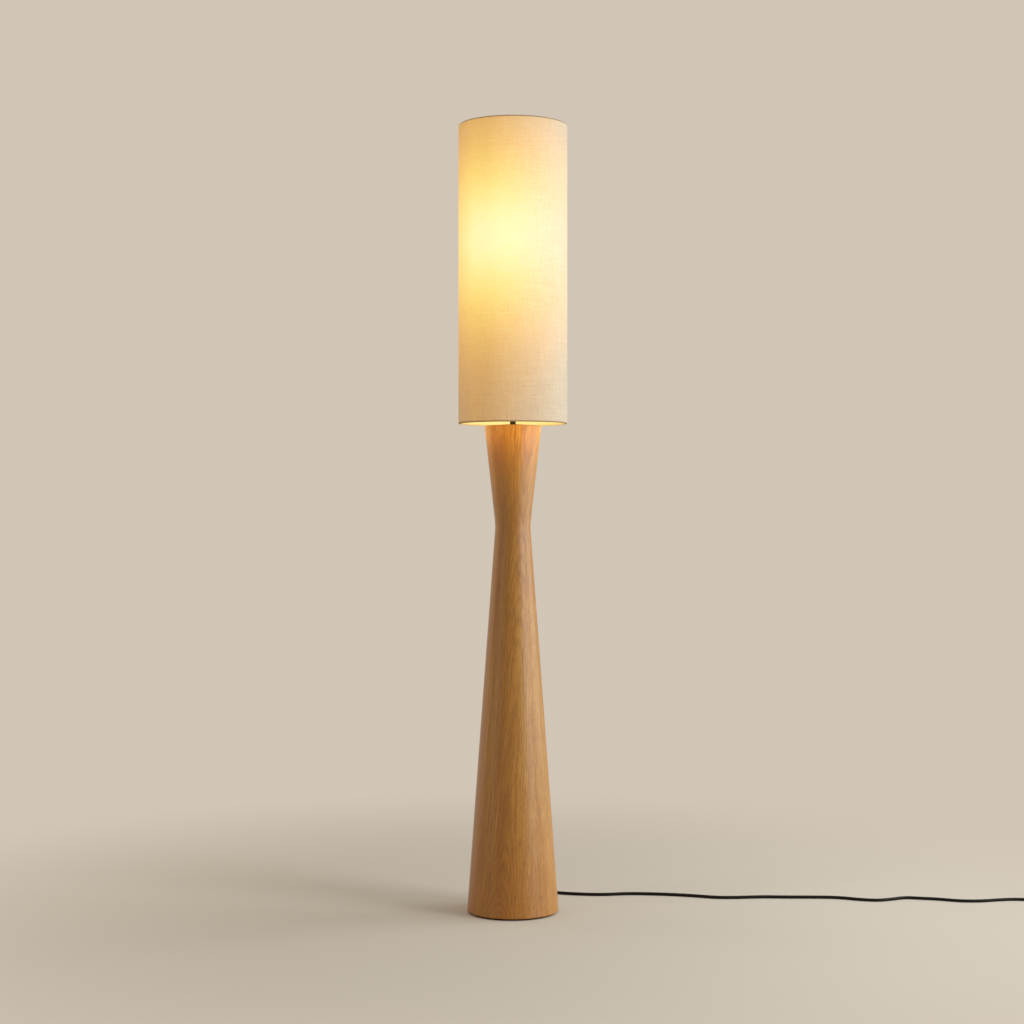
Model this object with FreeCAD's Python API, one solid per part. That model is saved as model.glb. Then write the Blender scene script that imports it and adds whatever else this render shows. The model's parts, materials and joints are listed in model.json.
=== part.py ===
import FreeCAD, Part
import math
import os

# A column floor lamp: an hourglass turned from oak in two lengths, under a tall drum shade.
# Millimetres. The origin is the middle of the foot on the floor, +Z is up, +Y is the back.

os.makedirs("parts", exist_ok=True)
Vector = FreeCAD.Vector
UP = Vector(0, 0, 1)
ACROSS = Vector(1, 0, 0)
BACK = Vector(0, 1, 0)

# ---------------------------------------------------------------- fits
slip = 0.05                     # radial gap of a bore round the rod, pin or ring that it holds
clear = 0.3                     # gap between pieces that move past each other
seat = 0.1                      # gap left round soft and glued-in pieces

# ---------------------------------------------------------------- foot
foot_pad_thickness = 3.0
foot_pad_inset = 6.0            # from the edge of the wood to the edge of the pad
weight_thickness = 12.0
weight_ledge = 13.0             # width of the wooden shelf that the weight is screwed to
weight_edge_round = 0.8
base_screw_count = 4
base_screw_diameter = 4.0
base_screw_head = 9.0
base_screw_length = 35.0

# ---------------------------------------------------------------- turned oak column
base_diameter = 185.0
waist_diameter = 71.5
crown_diameter = 115.0
lower_height = 776.0
upper_height = 203.0
waist_blend = 100.0             # radius that eases both flanks into the waist
base_edge_round = 2.5
crown_edge_round = 1.2
wall_at_foot = 31.0
wall_at_web = 22.0
web_depth = 98.0                # solid wood between the cavity and the socket
tenon_diameter = 40.0
tenon_length = 40.0
tenon_chamfer = 1.5
socket_relief = 1.0             # the socket is this much deeper than the tenon
rod_play = 0.5                  # air round the tie tube in the wood
recess_play = 2.0               # air round the washer in the crown's recess
crown_recess_depth = 12.0

# ---------------------------------------------------------------- tie tube and its fasteners
tie_tube_diameter = 10.0
tie_tube_wall = 1.0
tie_tube_tail = 8.0             # thread that shows under the lower nut
tie_tube_short = 1.0            # it ends this far under the top of the lampholder's boss
washer_diameter = 34.0
washer_thickness = 2.5
nut_across_flats = 17.0
lower_nut_height = 6.0
top_nut_height = 5.0
cover_lap = 9.0                 # cover on the wood, round the recess
top_cover_thickness = 2.5
top_cover_fall = 0.5            # its top slopes down by this much to its rim
top_cover_round = 0.8

# ---------------------------------------------------------------- stem, saddle, ferrules and harp
stem_wall = 0.95
stem_rise = 253.0               # stem over the crown
saddle_thickness = 2.0
saddle_width = 14.0
saddle_slope = 10.0             # run of each slope, from the flat part out to an ear
saddle_rise = 6.0               # height of each slope
saddle_bend = 4.0
saddle_shoulder = 12.0          # full width up to here, over the saddle's underside
ear_height = 17.0               # top of each ear over the saddle's underside
ear_width = 8.0
harp_foot_spread = 60.0         # between the centres of the harp's two feet
harp_spread = 114.0
harp_wire = 4.0
peg_height = 10.0
ferrule_diameter = 9.0
ferrule_length = 14.0
ferrule_travel = 13.0
ferrule_round = 0.8
harp_foot_bend = 30.0           # radii of the harp's bends, from its feet to its top
harp_shoulder_bend = 45.0
harp_waist_bend = 150.0
harp_neck_bend = 60.0
harp_top_bend = 12.0
harp_flare = 37.0               # height over which the harp widens above its feet
harp_side = 90.0                # height of its widest part
harp_neck_drop = 36.0           # from the top wire down to the neck
harp_neck_spread = 74.0
harp_top_spread = 34.0
stud_block_diameter = 12.0
stud_flange_diameter = 18.0
stud_flange_thickness = 2.0
stud_block_over_wire = 1.0
stud_diameter = 6.35
stud_length = 18.0
stud_edge = 0.8

# ---------------------------------------------------------------- lampholder with its turn switch
holder_wall = 0.6
holder_boss_diameter = 16.0
holder_boss_height = 10.0
holder_neck_height = 4.0        # straight neck of the cap over the saddle
holder_dome_height = 13.0       # shoulder of the cap's dome over the saddle
holder_skirt = 12.0             # straight wall of the cap over its dome
holder_dome_wall = 1.0
holder_edge_round = 0.6
holder_neck_round = 1.5
holder_dome_round = 5.0
holder_overlap = 6.0            # how far the shell goes down into the cap
shell_over_cup = 5.0            # shell over the rim of the screw shell
bead_lip = 1.0                  # plain rim of the shell over its bead
bead_slope = 1.0
bead_height = 2.0
bead_proud = 0.7
sleeve_wall = 0.9
sleeve_lip = 1.5                # insulating sleeve that shows over the shell
block_rise = 7.0                # switch block over the foot of the shell
switch_block_height = 18.0
block_rim = 1.5                 # switch block round the screw shell
block_flat_lip = 3.0            # full round part over the block's two flats
terminal_room = 4.4             # from each flat out to the round of the block
screw_shell_wall = 0.5
screw_shell_height = 22.0
screw_shell_round = 0.8
contact_diameter = 7.0
contact_tip_diameter = 3.5
contact_height = 2.0
contact_rim = 1.0
contact_gap = 2.0               # bare moulding between the contact and the screw shell
terminal_screw_head = 5.5
terminal_screw_head_height = 1.6
terminal_screw_shank = 3.0
terminal_screw_depth = 4.0
knob_diameter = 11.0
knob_length = 17.0
knob_shaft_diameter = 3.4
knob_shaft_depth = 9.0          # how far the shaft goes into the switch block
knob_stand_off = 9.0
knob_flutes = 8
knob_flute_diameter = 2.4
knob_flute_offset = 0.5         # the flutes' axes lie this far outside the knob
knob_taper = 1.0                # the knob's foot is this much smaller in radius
knob_taper_length = 3.0
knob_foot_round = 0.6
knob_end_round = 1.6
switch_bush_diameter = 7.0
switch_bush_proud = 2.0         # bush outside the shell
core_straight = 4.0             # of the two cores, where they leave the flex
core_spread_height = 6.0
core_bend = 2.5

# ---------------------------------------------------------------- lamp bulb
bulb_cap_diameter = 26.2
bulb_cap_height = 24.0
bulb_tip_diameter = 9.0
bulb_tip_height = 3.5
bulb_tip_round = 1.0
bulb_tip_lip = 1.5
bulb_tip_step = 1.0
bulb_cap_chamfer = 1.5
bulb_diameter = 60.0
bulb_neck_rim = 0.9             # the housing's neck round the cap
bulb_neck_length = 5.0
bulb_neck_round = 8.0
bulb_housing_height = 36.0
bulb_rim_inset = 0.5            # the joint of housing and dome lies this far in
bulb_shoulder_inset = 1.5
bulb_shoulder_height = 8.0      # of the rounded shoulders under and over that joint
bulb_shoulder_round = 12.0
bulb_dome_height = 50.0
bulb_dome_foot_round = 10.0
bulb_dome_wall = 1.0
led_board_diameter = 40.0
led_board_thickness = 1.6

# ---------------------------------------------------------------- shade
shade_diameter = 220.0
shade_height = 603.0
shade_lift_gap = 3.6            # between the crown of the column and the shade
fabric_thickness = 0.8
liner_thickness = 0.7
hem_depth = 11.0
hem_round = 1.6
shade_wire = 3.5
hub_drop = 12.0                 # from the middle of the top ring down to the middle of the hub
hub_diameter = 24.0
hub_thickness = 2.5
arm_count = 3
arm_wire = 3.0
arm_bend = 8.0
arm_knee = 14.0                 # the arms bend up this far inside the ring
seam_width = 12.0
seam_proud = 0.5
seam_round = 0.4

# ---------------------------------------------------------------- finial
finial_base_diameter = 18.0
finial_base_height = 3.0
finial_neck_diameter = 9.0
finial_ball_diameter = 15.0
finial_base_round = 0.8
finial_neck_rise = 1.5          # from the base up to the neck
finial_neck_round = 1.0
finial_ball_rise = 5.0          # from the base up to the ball's foot
finial_ball_foot_round = 3.0
finial_tip_flat = 0.5
finial_thread_spare = 0.5       # thread left over the stud's tip
finial_crown = 3.0              # metal over the blind thread

# ---------------------------------------------------------------- cord, gland and plug
cord_diameter = 6.5
inner_flex_diameter = 5.0
inner_flex_bend = 34.0
inner_flex_end = 3.0            # sheath over the top of the tie tube
bend_share = 0.45               # of the shorter run beside it, for each bend of the cord
conductor_diameter = 1.8
gland_rise = 2.25               # wood between the weight and the gland's barrel
gland_flange_diameter = 15.0
gland_flange_thickness = 4.0
gland_barrel_diameter = 9.5
gland_nose = 9.0                # barrel that shows inside the cavity
gland_tail_length = 28.0
gland_tail_root = 11.5
gland_tail_tip = 8.6
gland_grooves = 4
gland_groove_width = 1.6
gland_groove_depth = 0.9
gland_end_round = 0.8
gland_flange_round = 1.0
gland_tip_round = 0.6
coil_centre_x = 1135.0
coil_radius = 35.0              # at the middle of the turns
coil_turns = 4                  # whole turns in all: in on the floor, out again on top
coil_gap = 0.6                  # between neighbouring turns
coil_climb = 0.5                # of a turn, in which the cord climbs to the upper layer
plug_relief_length = 24.0
plug_relief_root = 12.0
plug_relief_tip = 8.4
plug_length = 32.0
plug_width = 26.0
plug_thickness = 14.5
plug_rear_width = 15.0
plug_round = 4.0
plug_shoulder = 9.0             # from the relief to the full width of the body
plug_draft = 2.0                # the body widens by this much, and thickens by half of it
plug_grips = 3
plug_grip_diameter = 2.6
blade_spacing = 12.7
blade_width = 6.35
blade_thickness = 1.5
blade_length = 17.5
blade_root = 7.0
blade_hole = 3.0
blade_hole_set_back = 4.0       # from the blade's tip

# The cord's route on the floor behind the lamp, from the gland to the coil, chosen by hand.
cord_rest = cord_diameter / 2
coil_pitch = cord_diameter + coil_gap
upper_layer = cord_rest + coil_pitch
plug_axis = plug_thickness / 2
lead_start = 18.0               # straight out of the gland
lead_route = [
    (6, 157, 18), (24, 174, 11), (50, 180, 5.2), (80, 175, cord_rest),
    (112, 162, cord_rest), (150, 153, cord_rest),
    (193, 149, cord_rest), (240, 161, cord_rest), (288, 158, cord_rest), (336, 150, cord_rest),
    (382, 138, cord_rest), (426, 119, cord_rest), (474, 121, cord_rest), (524, 128, cord_rest),
    (576, 124, cord_rest), (630, 124, cord_rest), (680, 121, cord_rest), (720, 99, cord_rest),
    (756, 90, cord_rest), (788, 103, cord_rest), (818, 120, cord_rest), (848, 112, cord_rest),
    (884, 104, cord_rest), (926, 84, cord_rest), (970, 84, cord_rest), (1010, 97, cord_rest),
    (1050, 103, cord_rest), (1090, 88, cord_rest),
]

# The tail's route, in x and y from where it leaves the coil's upper layer, and in height.
tail_route = [
    (0, 0, upper_layer), (17.5, 0, upper_layer), (37.5, 1, 5.15), (58, -1, cord_rest),
    (80, -5, cord_rest), (101, -7, plug_axis), (119, -7, plug_axis),
]

# ---------------------------------------------------------------- widths that follow
foot_pad_diameter = base_diameter - 2 * foot_pad_inset
rod_bore = tie_tube_diameter + 2 * rod_play
thread_bore = tie_tube_diameter + 2 * slip
crown_recess_diameter = washer_diameter + 2 * recess_play
top_cover_diameter = crown_recess_diameter + 2 * cover_lap
stem_diameter = thread_bore + 2 * stem_wall
cup_radius = bulb_cap_diameter / 2 + clear
block_radius = cup_radius + screw_shell_wall + block_rim
sleeve_radius = block_radius + slip + sleeve_wall
shell_radius = sleeve_radius + slip + holder_wall
flat_reach = block_radius - terminal_room
bulb_neck_diameter = bulb_cap_diameter + 2 * bulb_neck_rim
hub_hole = stud_diameter + 2 * clear
liner_radius = shade_diameter / 2 - fabric_thickness - seat
wire_ring_radius = liner_radius - liner_thickness - seat - shade_wire / 2

# ---------------------------------------------------------------- heights that follow
wood_foot = foot_pad_thickness
waist_height = wood_foot + lower_height
crown_height = waist_height + upper_height
socket_floor = waist_height - tenon_length - socket_relief
web_underside = socket_floor - web_depth
weight_top = wood_foot + weight_thickness
gland_height = weight_top + gland_rise + gland_barrel_diameter / 2
recess_floor = crown_height - crown_recess_depth
lower_nut_underside = web_underside - washer_thickness - lower_nut_height
top_nut_top = recess_floor + washer_thickness + top_nut_height
stem_top = crown_height + stem_rise
saddle_top = stem_top + saddle_thickness
tie_tube_top = saddle_top + holder_boss_height - tie_tube_short
flex_top = tie_tube_top + inner_flex_end
ear_top = stem_top + ear_height
harp_end = ear_top + peg_height
holder_cap_top = saddle_top + holder_dome_height + holder_skirt
shell_foot = holder_cap_top - holder_overlap
block_foot = shell_foot + block_rise
block_top = block_foot + switch_block_height
knob_height = block_foot + switch_block_height / 2
cup_top = block_top + screw_shell_height
shell_top = cup_top + shell_over_cup
bulb_foot = block_top + contact_height + clear
bulb_neck_height = bulb_foot + bulb_tip_height + bulb_cap_height
bulb_board_height = bulb_neck_height + bulb_housing_height
bulb_top = bulb_board_height + bulb_dome_height
shade_foot = crown_height + shade_lift_gap
shade_top = shade_foot + shade_height
carrier_top = shade_top - fabric_thickness - seat - shade_wire / 2
hub_foot = carrier_top - hub_drop - hub_thickness / 2
hub_top = hub_foot + hub_thickness
stud_seat = hub_foot
stud_block_top = stud_seat - stud_flange_thickness
harp_top = stud_block_top - stud_block_over_wire - harp_wire / 2
thread_top = stud_seat + stud_length
finial_thread_top = thread_top + finial_thread_spare
finial_top = finial_thread_top + finial_crown

# ---------------------------------------------------------------- the coil's places that follow
coil_turning = coil_turns / 2    # the spiral reverses after this many turns
coil_reach = coil_radius + coil_pitch * coil_turning / 2
coil_centre_y = lead_route[-1][1] + coil_reach


# ---------------------------------------------------------------- shapes that repeat
def at(radius, height):
    """A point of a turned profile."""
    return Vector(radius, 0, height)


def corner(before, point, after, radius):
    """Start, middle and end of the arc that rounds a corner, tangent to both of its runs."""
    back = (before - point).normalize()
    ahead = (after - point).normalize()
    half_turn = (math.pi - back.getAngle(ahead)) / 2
    reach = radius * math.tan(half_turn)
    inward = (back + ahead).normalize() * (radius / math.cos(half_turn) - radius)
    return point + back * reach, point + inward, point + ahead * reach


def outline(points):
    """A closed wire through (x, y, z) points; a fourth value rounds that corner."""
    spots = [Vector(*p[:3]) for p in points]
    rounds = [p[3] if len(p) > 3 else 0 for p in points]
    edges = []
    ends = []
    for i, spot in enumerate(spots):
        if rounds[i]:
            start, middle, end = corner(spots[i - 1], spot, spots[(i + 1) % len(spots)], rounds[i])
            edges.append(Part.Arc(start, middle, end).toShape())
            ends.append((start, end))
        else:
            ends.append((spot, spot))
    for (_, leave), (arrive, _) in zip(ends, ends[1:] + ends[:1]):
        if leave.distanceToPoint(arrive) > 1e-6:
            edges.append(Part.LineSegment(leave, arrive).toShape())
    return Part.Wire(Part.sortEdges(edges)[0])


def turned(points):
    """A solid turned about Z from (radius, height) points; a third value rounds that corner."""
    wire = outline([(p[0], 0, *p[1:]) for p in points])
    return Part.Face(wire).revolve(Vector(), UP, 360)


def disc(diameter, foot, top, bore=0):
    """A round plate or a tube on the lamp's axis."""
    solid = Part.makeCylinder(diameter / 2, top - foot, at(0, foot))
    if bore:
        solid = solid.cut(Part.makeCylinder(bore / 2, top - foot, at(0, foot)))
    return solid


def rod(start, direction, diameter, length):
    """A plain round rod."""
    return Part.makeCylinder(diameter / 2, length, start, direction)


def nut(across_flats, foot, top, bore):
    """A hexagon nut on the lamp's axis, with its corners turned off."""
    corners = across_flats / math.cos(math.pi / 6)
    turns = [math.radians(60 * i) for i in range(6)]
    ring = [at(0, foot) + Vector(math.cos(t), math.sin(t), 0) * (corners / 2) for t in turns]
    hexagon = Part.Face(Part.makePolygon(ring + ring[:1])).extrude(UP * (top - foot))
    bevel = (corners - across_flats) / 2
    barrel = turned([
        (0, foot), (across_flats / 2, foot), (corners / 2, foot + bevel),
        (corners / 2, top - bevel), (across_flats / 2, top), (0, top),
    ])
    return hexagon.common(barrel).cut(disc(bore, foot, top))


def runs_and_arcs(points, radii):
    """Straight runs joined by tangent arcs, one radius for each inner point."""
    edges = []
    here = points[0]
    for before, point, after, radius in zip(points, points[1:], points[2:], radii):
        start, middle, end = corner(before, point, after, radius)
        edges.append(Part.LineSegment(here, start).toShape())
        edges.append(Part.Arc(start, middle, end).toShape())
        here = end
    edges.append(Part.LineSegment(here, points[-1]).toShape())
    return Part.Wire(edges)


def easy_radii(points):
    """The largest even arcs that the runs leave room for."""
    radii = []
    for before, point, after in zip(points, points[1:], points[2:]):
        shorter = min((point - before).Length, (after - point).Length)
        turn = math.pi - (before - point).getAngle(after - point)
        radii.append(bend_share * shorter / math.tan(turn / 2))
    return radii


def tube(path, diameter):
    """A round tube along a path."""
    first = path.Edges[0]
    start = first.valueAt(first.FirstParameter)
    heading = first.tangentAt(first.FirstParameter)
    ring = Part.Wire(Part.Circle(start, heading, diameter / 2).toShape())
    return path.makePipeShell([ring], True, False)


def copies(solid, count, first_turn=0.0):
    """Even copies of a solid round the lamp's axis."""
    made = []
    for i in range(count):
        made.append(solid.copy().rotate(Vector(), UP, first_turn + 360 * i / count))
    return made


def fused(solids):
    """One solid from several."""
    whole = solids[0]
    for solid in solids[1:]:
        whole = whole.fuse(solid)
    return whole.removeSplitter()


# ---------------------------------------------------------------- foot
def foot_pad():
    return disc(foot_pad_diameter, 0, foot_pad_thickness)


def weight_radius():
    return cavity_radius(weight_top) + weight_ledge


def base_screw_place():
    """The middle of the ledge, at the underside of the weight."""
    return Vector(weight_radius() - weight_ledge / 2, 0, wood_foot)


def base_screw():
    """One countersunk wood screw, its head flush with the weight."""
    sink = (base_screw_head - base_screw_diameter) / 2
    point = base_screw_diameter
    shape = turned([
        (0, 0), (base_screw_head / 2, 0), (base_screw_diameter / 2, sink),
        (base_screw_diameter / 2, base_screw_length - point), (0, base_screw_length),
    ])
    return shape.translate(base_screw_place())


def base_screw_hole():
    """What one screw takes out of the weight and the wood, a little larger than the screw."""
    head = base_screw_head / 2 + slip
    shank = base_screw_diameter / 2 + slip
    sink = head - shank
    shape = turned([
        (0, 0), (head, 0), (shank, sink), (shank, base_screw_length + slip), (0, base_screw_length + slip),
    ])
    return shape.translate(base_screw_place())


def screw_pattern(solid):
    """The screws stand between the cord hole and the front."""
    return copies(solid, base_screw_count, 180 / base_screw_count)


def base_weight():
    rim = weight_radius()
    plate = turned([
        (0, wood_foot), (rim, wood_foot, weight_edge_round), (rim, weight_top, weight_edge_round),
        (0, weight_top),
    ])
    for hole in screw_pattern(base_screw_hole()):
        plate = plate.cut(hole)
    return plate


# ---------------------------------------------------------------- column
def flank_radius(height):
    """Outer radius of the lower column at a height, along its straight flank."""
    share = (height - wood_foot) / lower_height
    return (base_diameter + (waist_diameter - base_diameter) * share) / 2


def cavity_radius(height):
    """Inner radius of the lower column's cavity at a height."""
    foot = base_diameter / 2 - wall_at_foot
    top = flank_radius(web_underside) - wall_at_web
    return foot + (top - foot) * (height - wood_foot) / (web_underside - wood_foot)


def hourglass_half(end_diameter, end_height, edge_round):
    """A flat end with a rounded rim, a straight flank, and half of the blended waist."""
    side = 1 if end_height > waist_height else -1
    middle = at(waist_diameter / 2 + waist_blend, waist_height)
    rim = at(end_diameter / 2, end_height)
    reach = rim - middle
    leave = math.atan2(reach.z, reach.x) + side * math.acos(waist_blend / reach.Length)
    halfway = (leave + side * math.pi) / 2
    touch = middle + at(math.cos(leave), math.sin(leave)) * waist_blend
    bulge = middle + at(math.cos(halfway), math.sin(halfway)) * waist_blend
    waist = at(waist_diameter / 2, waist_height)
    start, crest, end = corner(at(0, end_height), rim, touch, edge_round)
    edges = [
        Part.LineSegment(at(0, end_height), start).toShape(),
        Part.Arc(start, crest, end).toShape(),
        Part.LineSegment(end, touch).toShape(),
        Part.Arc(touch, bulge, waist).toShape(),
        Part.LineSegment(waist, at(0, waist_height)).toShape(),
        Part.LineSegment(at(0, waist_height), at(0, end_height)).toShape(),
    ]
    return Part.Face(Part.Wire(edges)).revolve(Vector(), UP, 360)


def gland_seat_y():
    """The spot face that the gland's flange sits in, at the back of the lower column."""
    return flank_radius(gland_height) - gland_flange_thickness


def gland_nose_y():
    """The inner end of the gland's barrel, where the inner flex begins."""
    return cavity_radius(gland_height) - gland_nose


def gland_tip():
    return Vector(0, flank_radius(gland_height) + gland_tail_length, gland_height)


def column_lower():
    wood = hourglass_half(base_diameter, wood_foot, base_edge_round)
    cavity = turned([
        (0, wood_foot), (cavity_radius(wood_foot), wood_foot),
        (cavity_radius(web_underside), web_underside), (0, web_underside),
    ])
    cord_way = Vector(0, 0, gland_height)
    cuts = [
        cavity,
        disc(2 * (weight_radius() + seat), wood_foot, weight_top + seat),
        disc(rod_bore, web_underside, socket_floor),
        disc(tenon_diameter + 2 * slip, socket_floor, waist_height),
        rod(cord_way, BACK, gland_barrel_diameter + 2 * slip, base_diameter / 2),
        rod(cord_way + BACK * gland_seat_y(), BACK, gland_flange_diameter + 2 * slip, base_diameter / 2),
    ]
    for cut in cuts + screw_pattern(base_screw_hole()):
        wood = wood.cut(cut)
    return wood


def column_upper():
    wood = hourglass_half(crown_diameter, crown_height, crown_edge_round)
    tenon_foot = waist_height - tenon_length
    tenon_radius = tenon_diameter / 2
    tenon = turned([
        (0, tenon_foot), (tenon_radius - tenon_chamfer, tenon_foot),
        (tenon_radius, tenon_foot + tenon_chamfer), (tenon_radius, waist_height), (0, waist_height),
    ])
    wood = fused([wood, tenon])
    wood = wood.cut(disc(rod_bore, tenon_foot, crown_height))
    return wood.cut(disc(crown_recess_diameter, recess_floor, crown_height))


# ---------------------------------------------------------------- tie tube, nuts, washers, cover
def tie_tube():
    foot = lower_nut_underside - tie_tube_tail
    return disc(tie_tube_diameter, foot, tie_tube_top, tie_tube_diameter - 2 * tie_tube_wall)


def lower_washer():
    return disc(washer_diameter, web_underside - washer_thickness, web_underside, thread_bore)


def lower_nut():
    top = lower_nut_underside + lower_nut_height
    return nut(nut_across_flats, lower_nut_underside, top, thread_bore)


def top_washer():
    return disc(washer_diameter, recess_floor, recess_floor + washer_thickness, thread_bore)


def top_nut():
    return nut(nut_across_flats, recess_floor + washer_thickness, top_nut_top, thread_bore)


def top_cover():
    """A thin disc that closes the recess round the stem."""
    inner = stem_diameter / 2 + slip
    top = crown_height + top_cover_thickness
    return turned([
        (inner, crown_height), (top_cover_diameter / 2, crown_height),
        (top_cover_diameter / 2, top - top_cover_fall, top_cover_round), (inner, top),
    ])


def stem():
    return disc(stem_diameter, top_nut_top, stem_top, thread_bore)


# ---------------------------------------------------------------- saddle, harp, ferrules and stud
def harp_saddle():
    """A bent strip under the lampholder, with a narrower ear and a round peg at each end."""
    half = harp_foot_spread / 2
    middle = stem_top + saddle_thickness / 2
    shoulder = stem_top + saddle_shoulder
    knee = middle + saddle_rise
    flat = half - saddle_slope
    spine = runs_and_arcs(
        [
            Vector(-half, 0, shoulder), Vector(-half, 0, knee), Vector(-flat, 0, middle),
            Vector(flat, 0, middle), Vector(half, 0, knee), Vector(half, 0, shoulder),
        ],
        [saddle_bend, saddle_bend, saddle_bend, saddle_bend],
    )
    thick, deep = saddle_thickness / 2, saddle_width / 2
    section = outline([
        (-half - thick, -deep, shoulder), (-half + thick, -deep, shoulder),
        (-half + thick, deep, shoulder), (-half - thick, deep, shoulder),
    ])
    parts = [spine.makePipeShell([section], True, False)]
    for side in (-1, 1):
        ear_foot = Vector(side * half - thick, -ear_width / 2, shoulder)
        parts.append(Part.makeBox(saddle_thickness, ear_width, ear_top - shoulder, ear_foot))
        peg_foot = Vector(side * half, 0, ear_top - harp_wire / 2)
        parts.append(rod(peg_foot, UP, harp_wire, peg_height + harp_wire / 2))
    return fused(parts).cut(disc(thread_bore, stem_top, saddle_top))


def harp():
    """A lyre of round wire; its straight feet stand end to end on the saddle's pegs."""
    foot, wide = harp_foot_spread / 2, harp_spread / 2
    flare_turn = math.atan((wide - foot) / harp_flare)
    free_leg = ferrule_length + ferrule_travel - peg_height + clear
    leg = free_leg + harp_foot_bend * math.tan(flare_turn / 2)
    shoulder = harp_end + leg + harp_flare
    right = [
        (foot, harp_end), (foot, harp_end + leg), (wide, shoulder), (wide, shoulder + harp_side),
        (harp_neck_spread / 2, harp_top - harp_neck_drop), (harp_top_spread / 2, harp_top),
    ]
    bends = [harp_foot_bend, harp_shoulder_bend, harp_waist_bend, harp_neck_bend, harp_top_bend]
    points = [Vector(-x, 0, z) for x, z in right] + [Vector(x, 0, z) for x, z in reversed(right)]
    return tube(runs_and_arcs(points, bends + bends[::-1]), harp_wire)


def ferrule(side):
    """The knurled sleeve that locks one foot of the harp on its peg, standing on the ear."""
    bore = harp_wire / 2 + slip
    outer = ferrule_diameter / 2
    top = ear_top + ferrule_length
    sleeve = turned([
        (bore, ear_top), (outer, ear_top, ferrule_round), (outer, top, ferrule_round), (bore, top),
    ])
    return sleeve.translate(Vector(side * harp_foot_spread / 2, 0, 0))


def harp_stud():
    """A block on the harp's top wire, with the flange that the shade's hub rests on and its stud."""
    underside = harp_top - harp_wire / 2 - stud_block_over_wire
    block = turned([
        (0, underside), (stud_block_diameter / 2, underside, stud_edge),
        (stud_block_diameter / 2, stud_block_top), (stud_flange_diameter / 2, stud_block_top),
        (stud_flange_diameter / 2, stud_seat), (stud_diameter / 2, stud_seat),
        (stud_diameter / 2, thread_top - stud_edge), (stud_diameter / 2 - stud_edge, thread_top),
        (0, thread_top),
    ])
    start = Vector(-stud_block_diameter, 0, harp_top)
    return block.cut(rod(start, ACROSS, harp_wire + 2 * slip, 2 * stud_block_diameter))


# ---------------------------------------------------------------- lampholder
def lampholder_cap():
    """The domed lower cap, screwed on the tie tube and standing on the saddle."""
    inner = shell_radius + slip
    outer = inner + holder_wall
    boss = holder_boss_diameter / 2
    throat = boss - holder_wall
    bore = thread_bore / 2
    neck = saddle_top + holder_neck_height
    shoulder = saddle_top + holder_dome_height
    boss_top = saddle_top + holder_boss_height
    return turned([
        (bore, saddle_top), (boss, saddle_top, holder_edge_round), (boss, neck, holder_neck_round),
        (outer, shoulder, holder_dome_round), (outer, holder_cap_top), (inner, holder_cap_top),
        (inner, shoulder + holder_dome_wall, holder_dome_round - holder_dome_wall),
        (throat, neck + 2 * holder_dome_wall), (throat, boss_top), (bore, boss_top),
    ])


def switch_window():
    """The hole that the switch's bush comes out of, in the shell and in the sleeve."""
    return rod(at(0, knob_height), -BACK, switch_bush_diameter + 2 * clear, 2 * shell_radius)


def lampholder_shell():
    """The thin brass shell, with a rolled bead near its rim."""
    outer = shell_radius
    inner = outer - holder_wall
    over = shell_top - bead_lip
    under = over - bead_height - 2 * bead_slope
    shell = turned([
        (inner, shell_foot), (outer, shell_foot), (outer, under), (outer + bead_proud, under + bead_slope),
        (outer + bead_proud, over - bead_slope), (outer, over), (outer, shell_top), (inner, shell_top),
    ])
    return shell.cut(switch_window())


def lampholder_sleeve():
    """The stiff paper sleeve that keeps the live block away from the metal shell."""
    sleeve = disc(2 * sleeve_radius, shell_foot, shell_top + sleeve_lip, 2 * (sleeve_radius - sleeve_wall))
    return sleeve.cut(switch_window())


def terminal_screw(side, gap=0.0):
    """One cheese-head terminal screw, or with a gap the hole that it needs."""
    face = Vector(side * flat_reach, 0, knob_height)
    outward = ACROSS * side
    shank = rod(face - outward * (terminal_screw_depth + gap), outward,
                terminal_screw_shank + 2 * gap, terminal_screw_depth + gap)
    head = rod(face, outward, terminal_screw_head + 2 * gap, terminal_screw_head_height)
    return fused([shank, head])


def switch_block():
    """The moulded block that carries the screw shell and the switch, with flats for its terminals."""
    block = disc(2 * block_radius, block_foot, block_top)
    for side in (-1, 1):
        flat = Part.makeBox(
            terminal_room, 2 * block_radius, switch_block_height - block_flat_lip,
            Vector(flat_reach, -block_radius, block_foot),
        )
        if side < 0:
            flat = flat.rotate(Vector(), UP, 180)
        block = block.cut(flat)
        block = block.cut(terminal_screw(side, slip))
    bush = rod(at(0, knob_height), -BACK, switch_bush_diameter, shell_radius + switch_bush_proud)
    bore_foot = block_radius - knob_shaft_depth
    bore = rod(Vector(0, -bore_foot + slip, knob_height), -BACK,
               knob_shaft_diameter + 2 * slip, 2 * shell_radius)
    return fused([block, bush]).cut(bore)


def screw_shell():
    """The brass cup that the bulb's cap screws into."""
    outer = cup_radius + screw_shell_wall
    hole = contact_diameter / 2 + contact_gap
    floor = block_top + screw_shell_wall
    return turned([
        (hole, block_top), (outer, block_top, screw_shell_round), (outer, cup_top), (cup_radius, cup_top),
        (cup_radius, floor), (hole, floor),
    ])


def centre_contact():
    """A raised round contact in the middle of the block."""
    top = block_top + contact_height
    return turned([
        (0, block_top), (contact_diameter / 2, block_top), (contact_diameter / 2, block_top + contact_rim),
        (contact_tip_diameter / 2, top), (0, top),
    ])


def terminal_screws():
    return Part.Compound([terminal_screw(-1), terminal_screw(1)])


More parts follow.
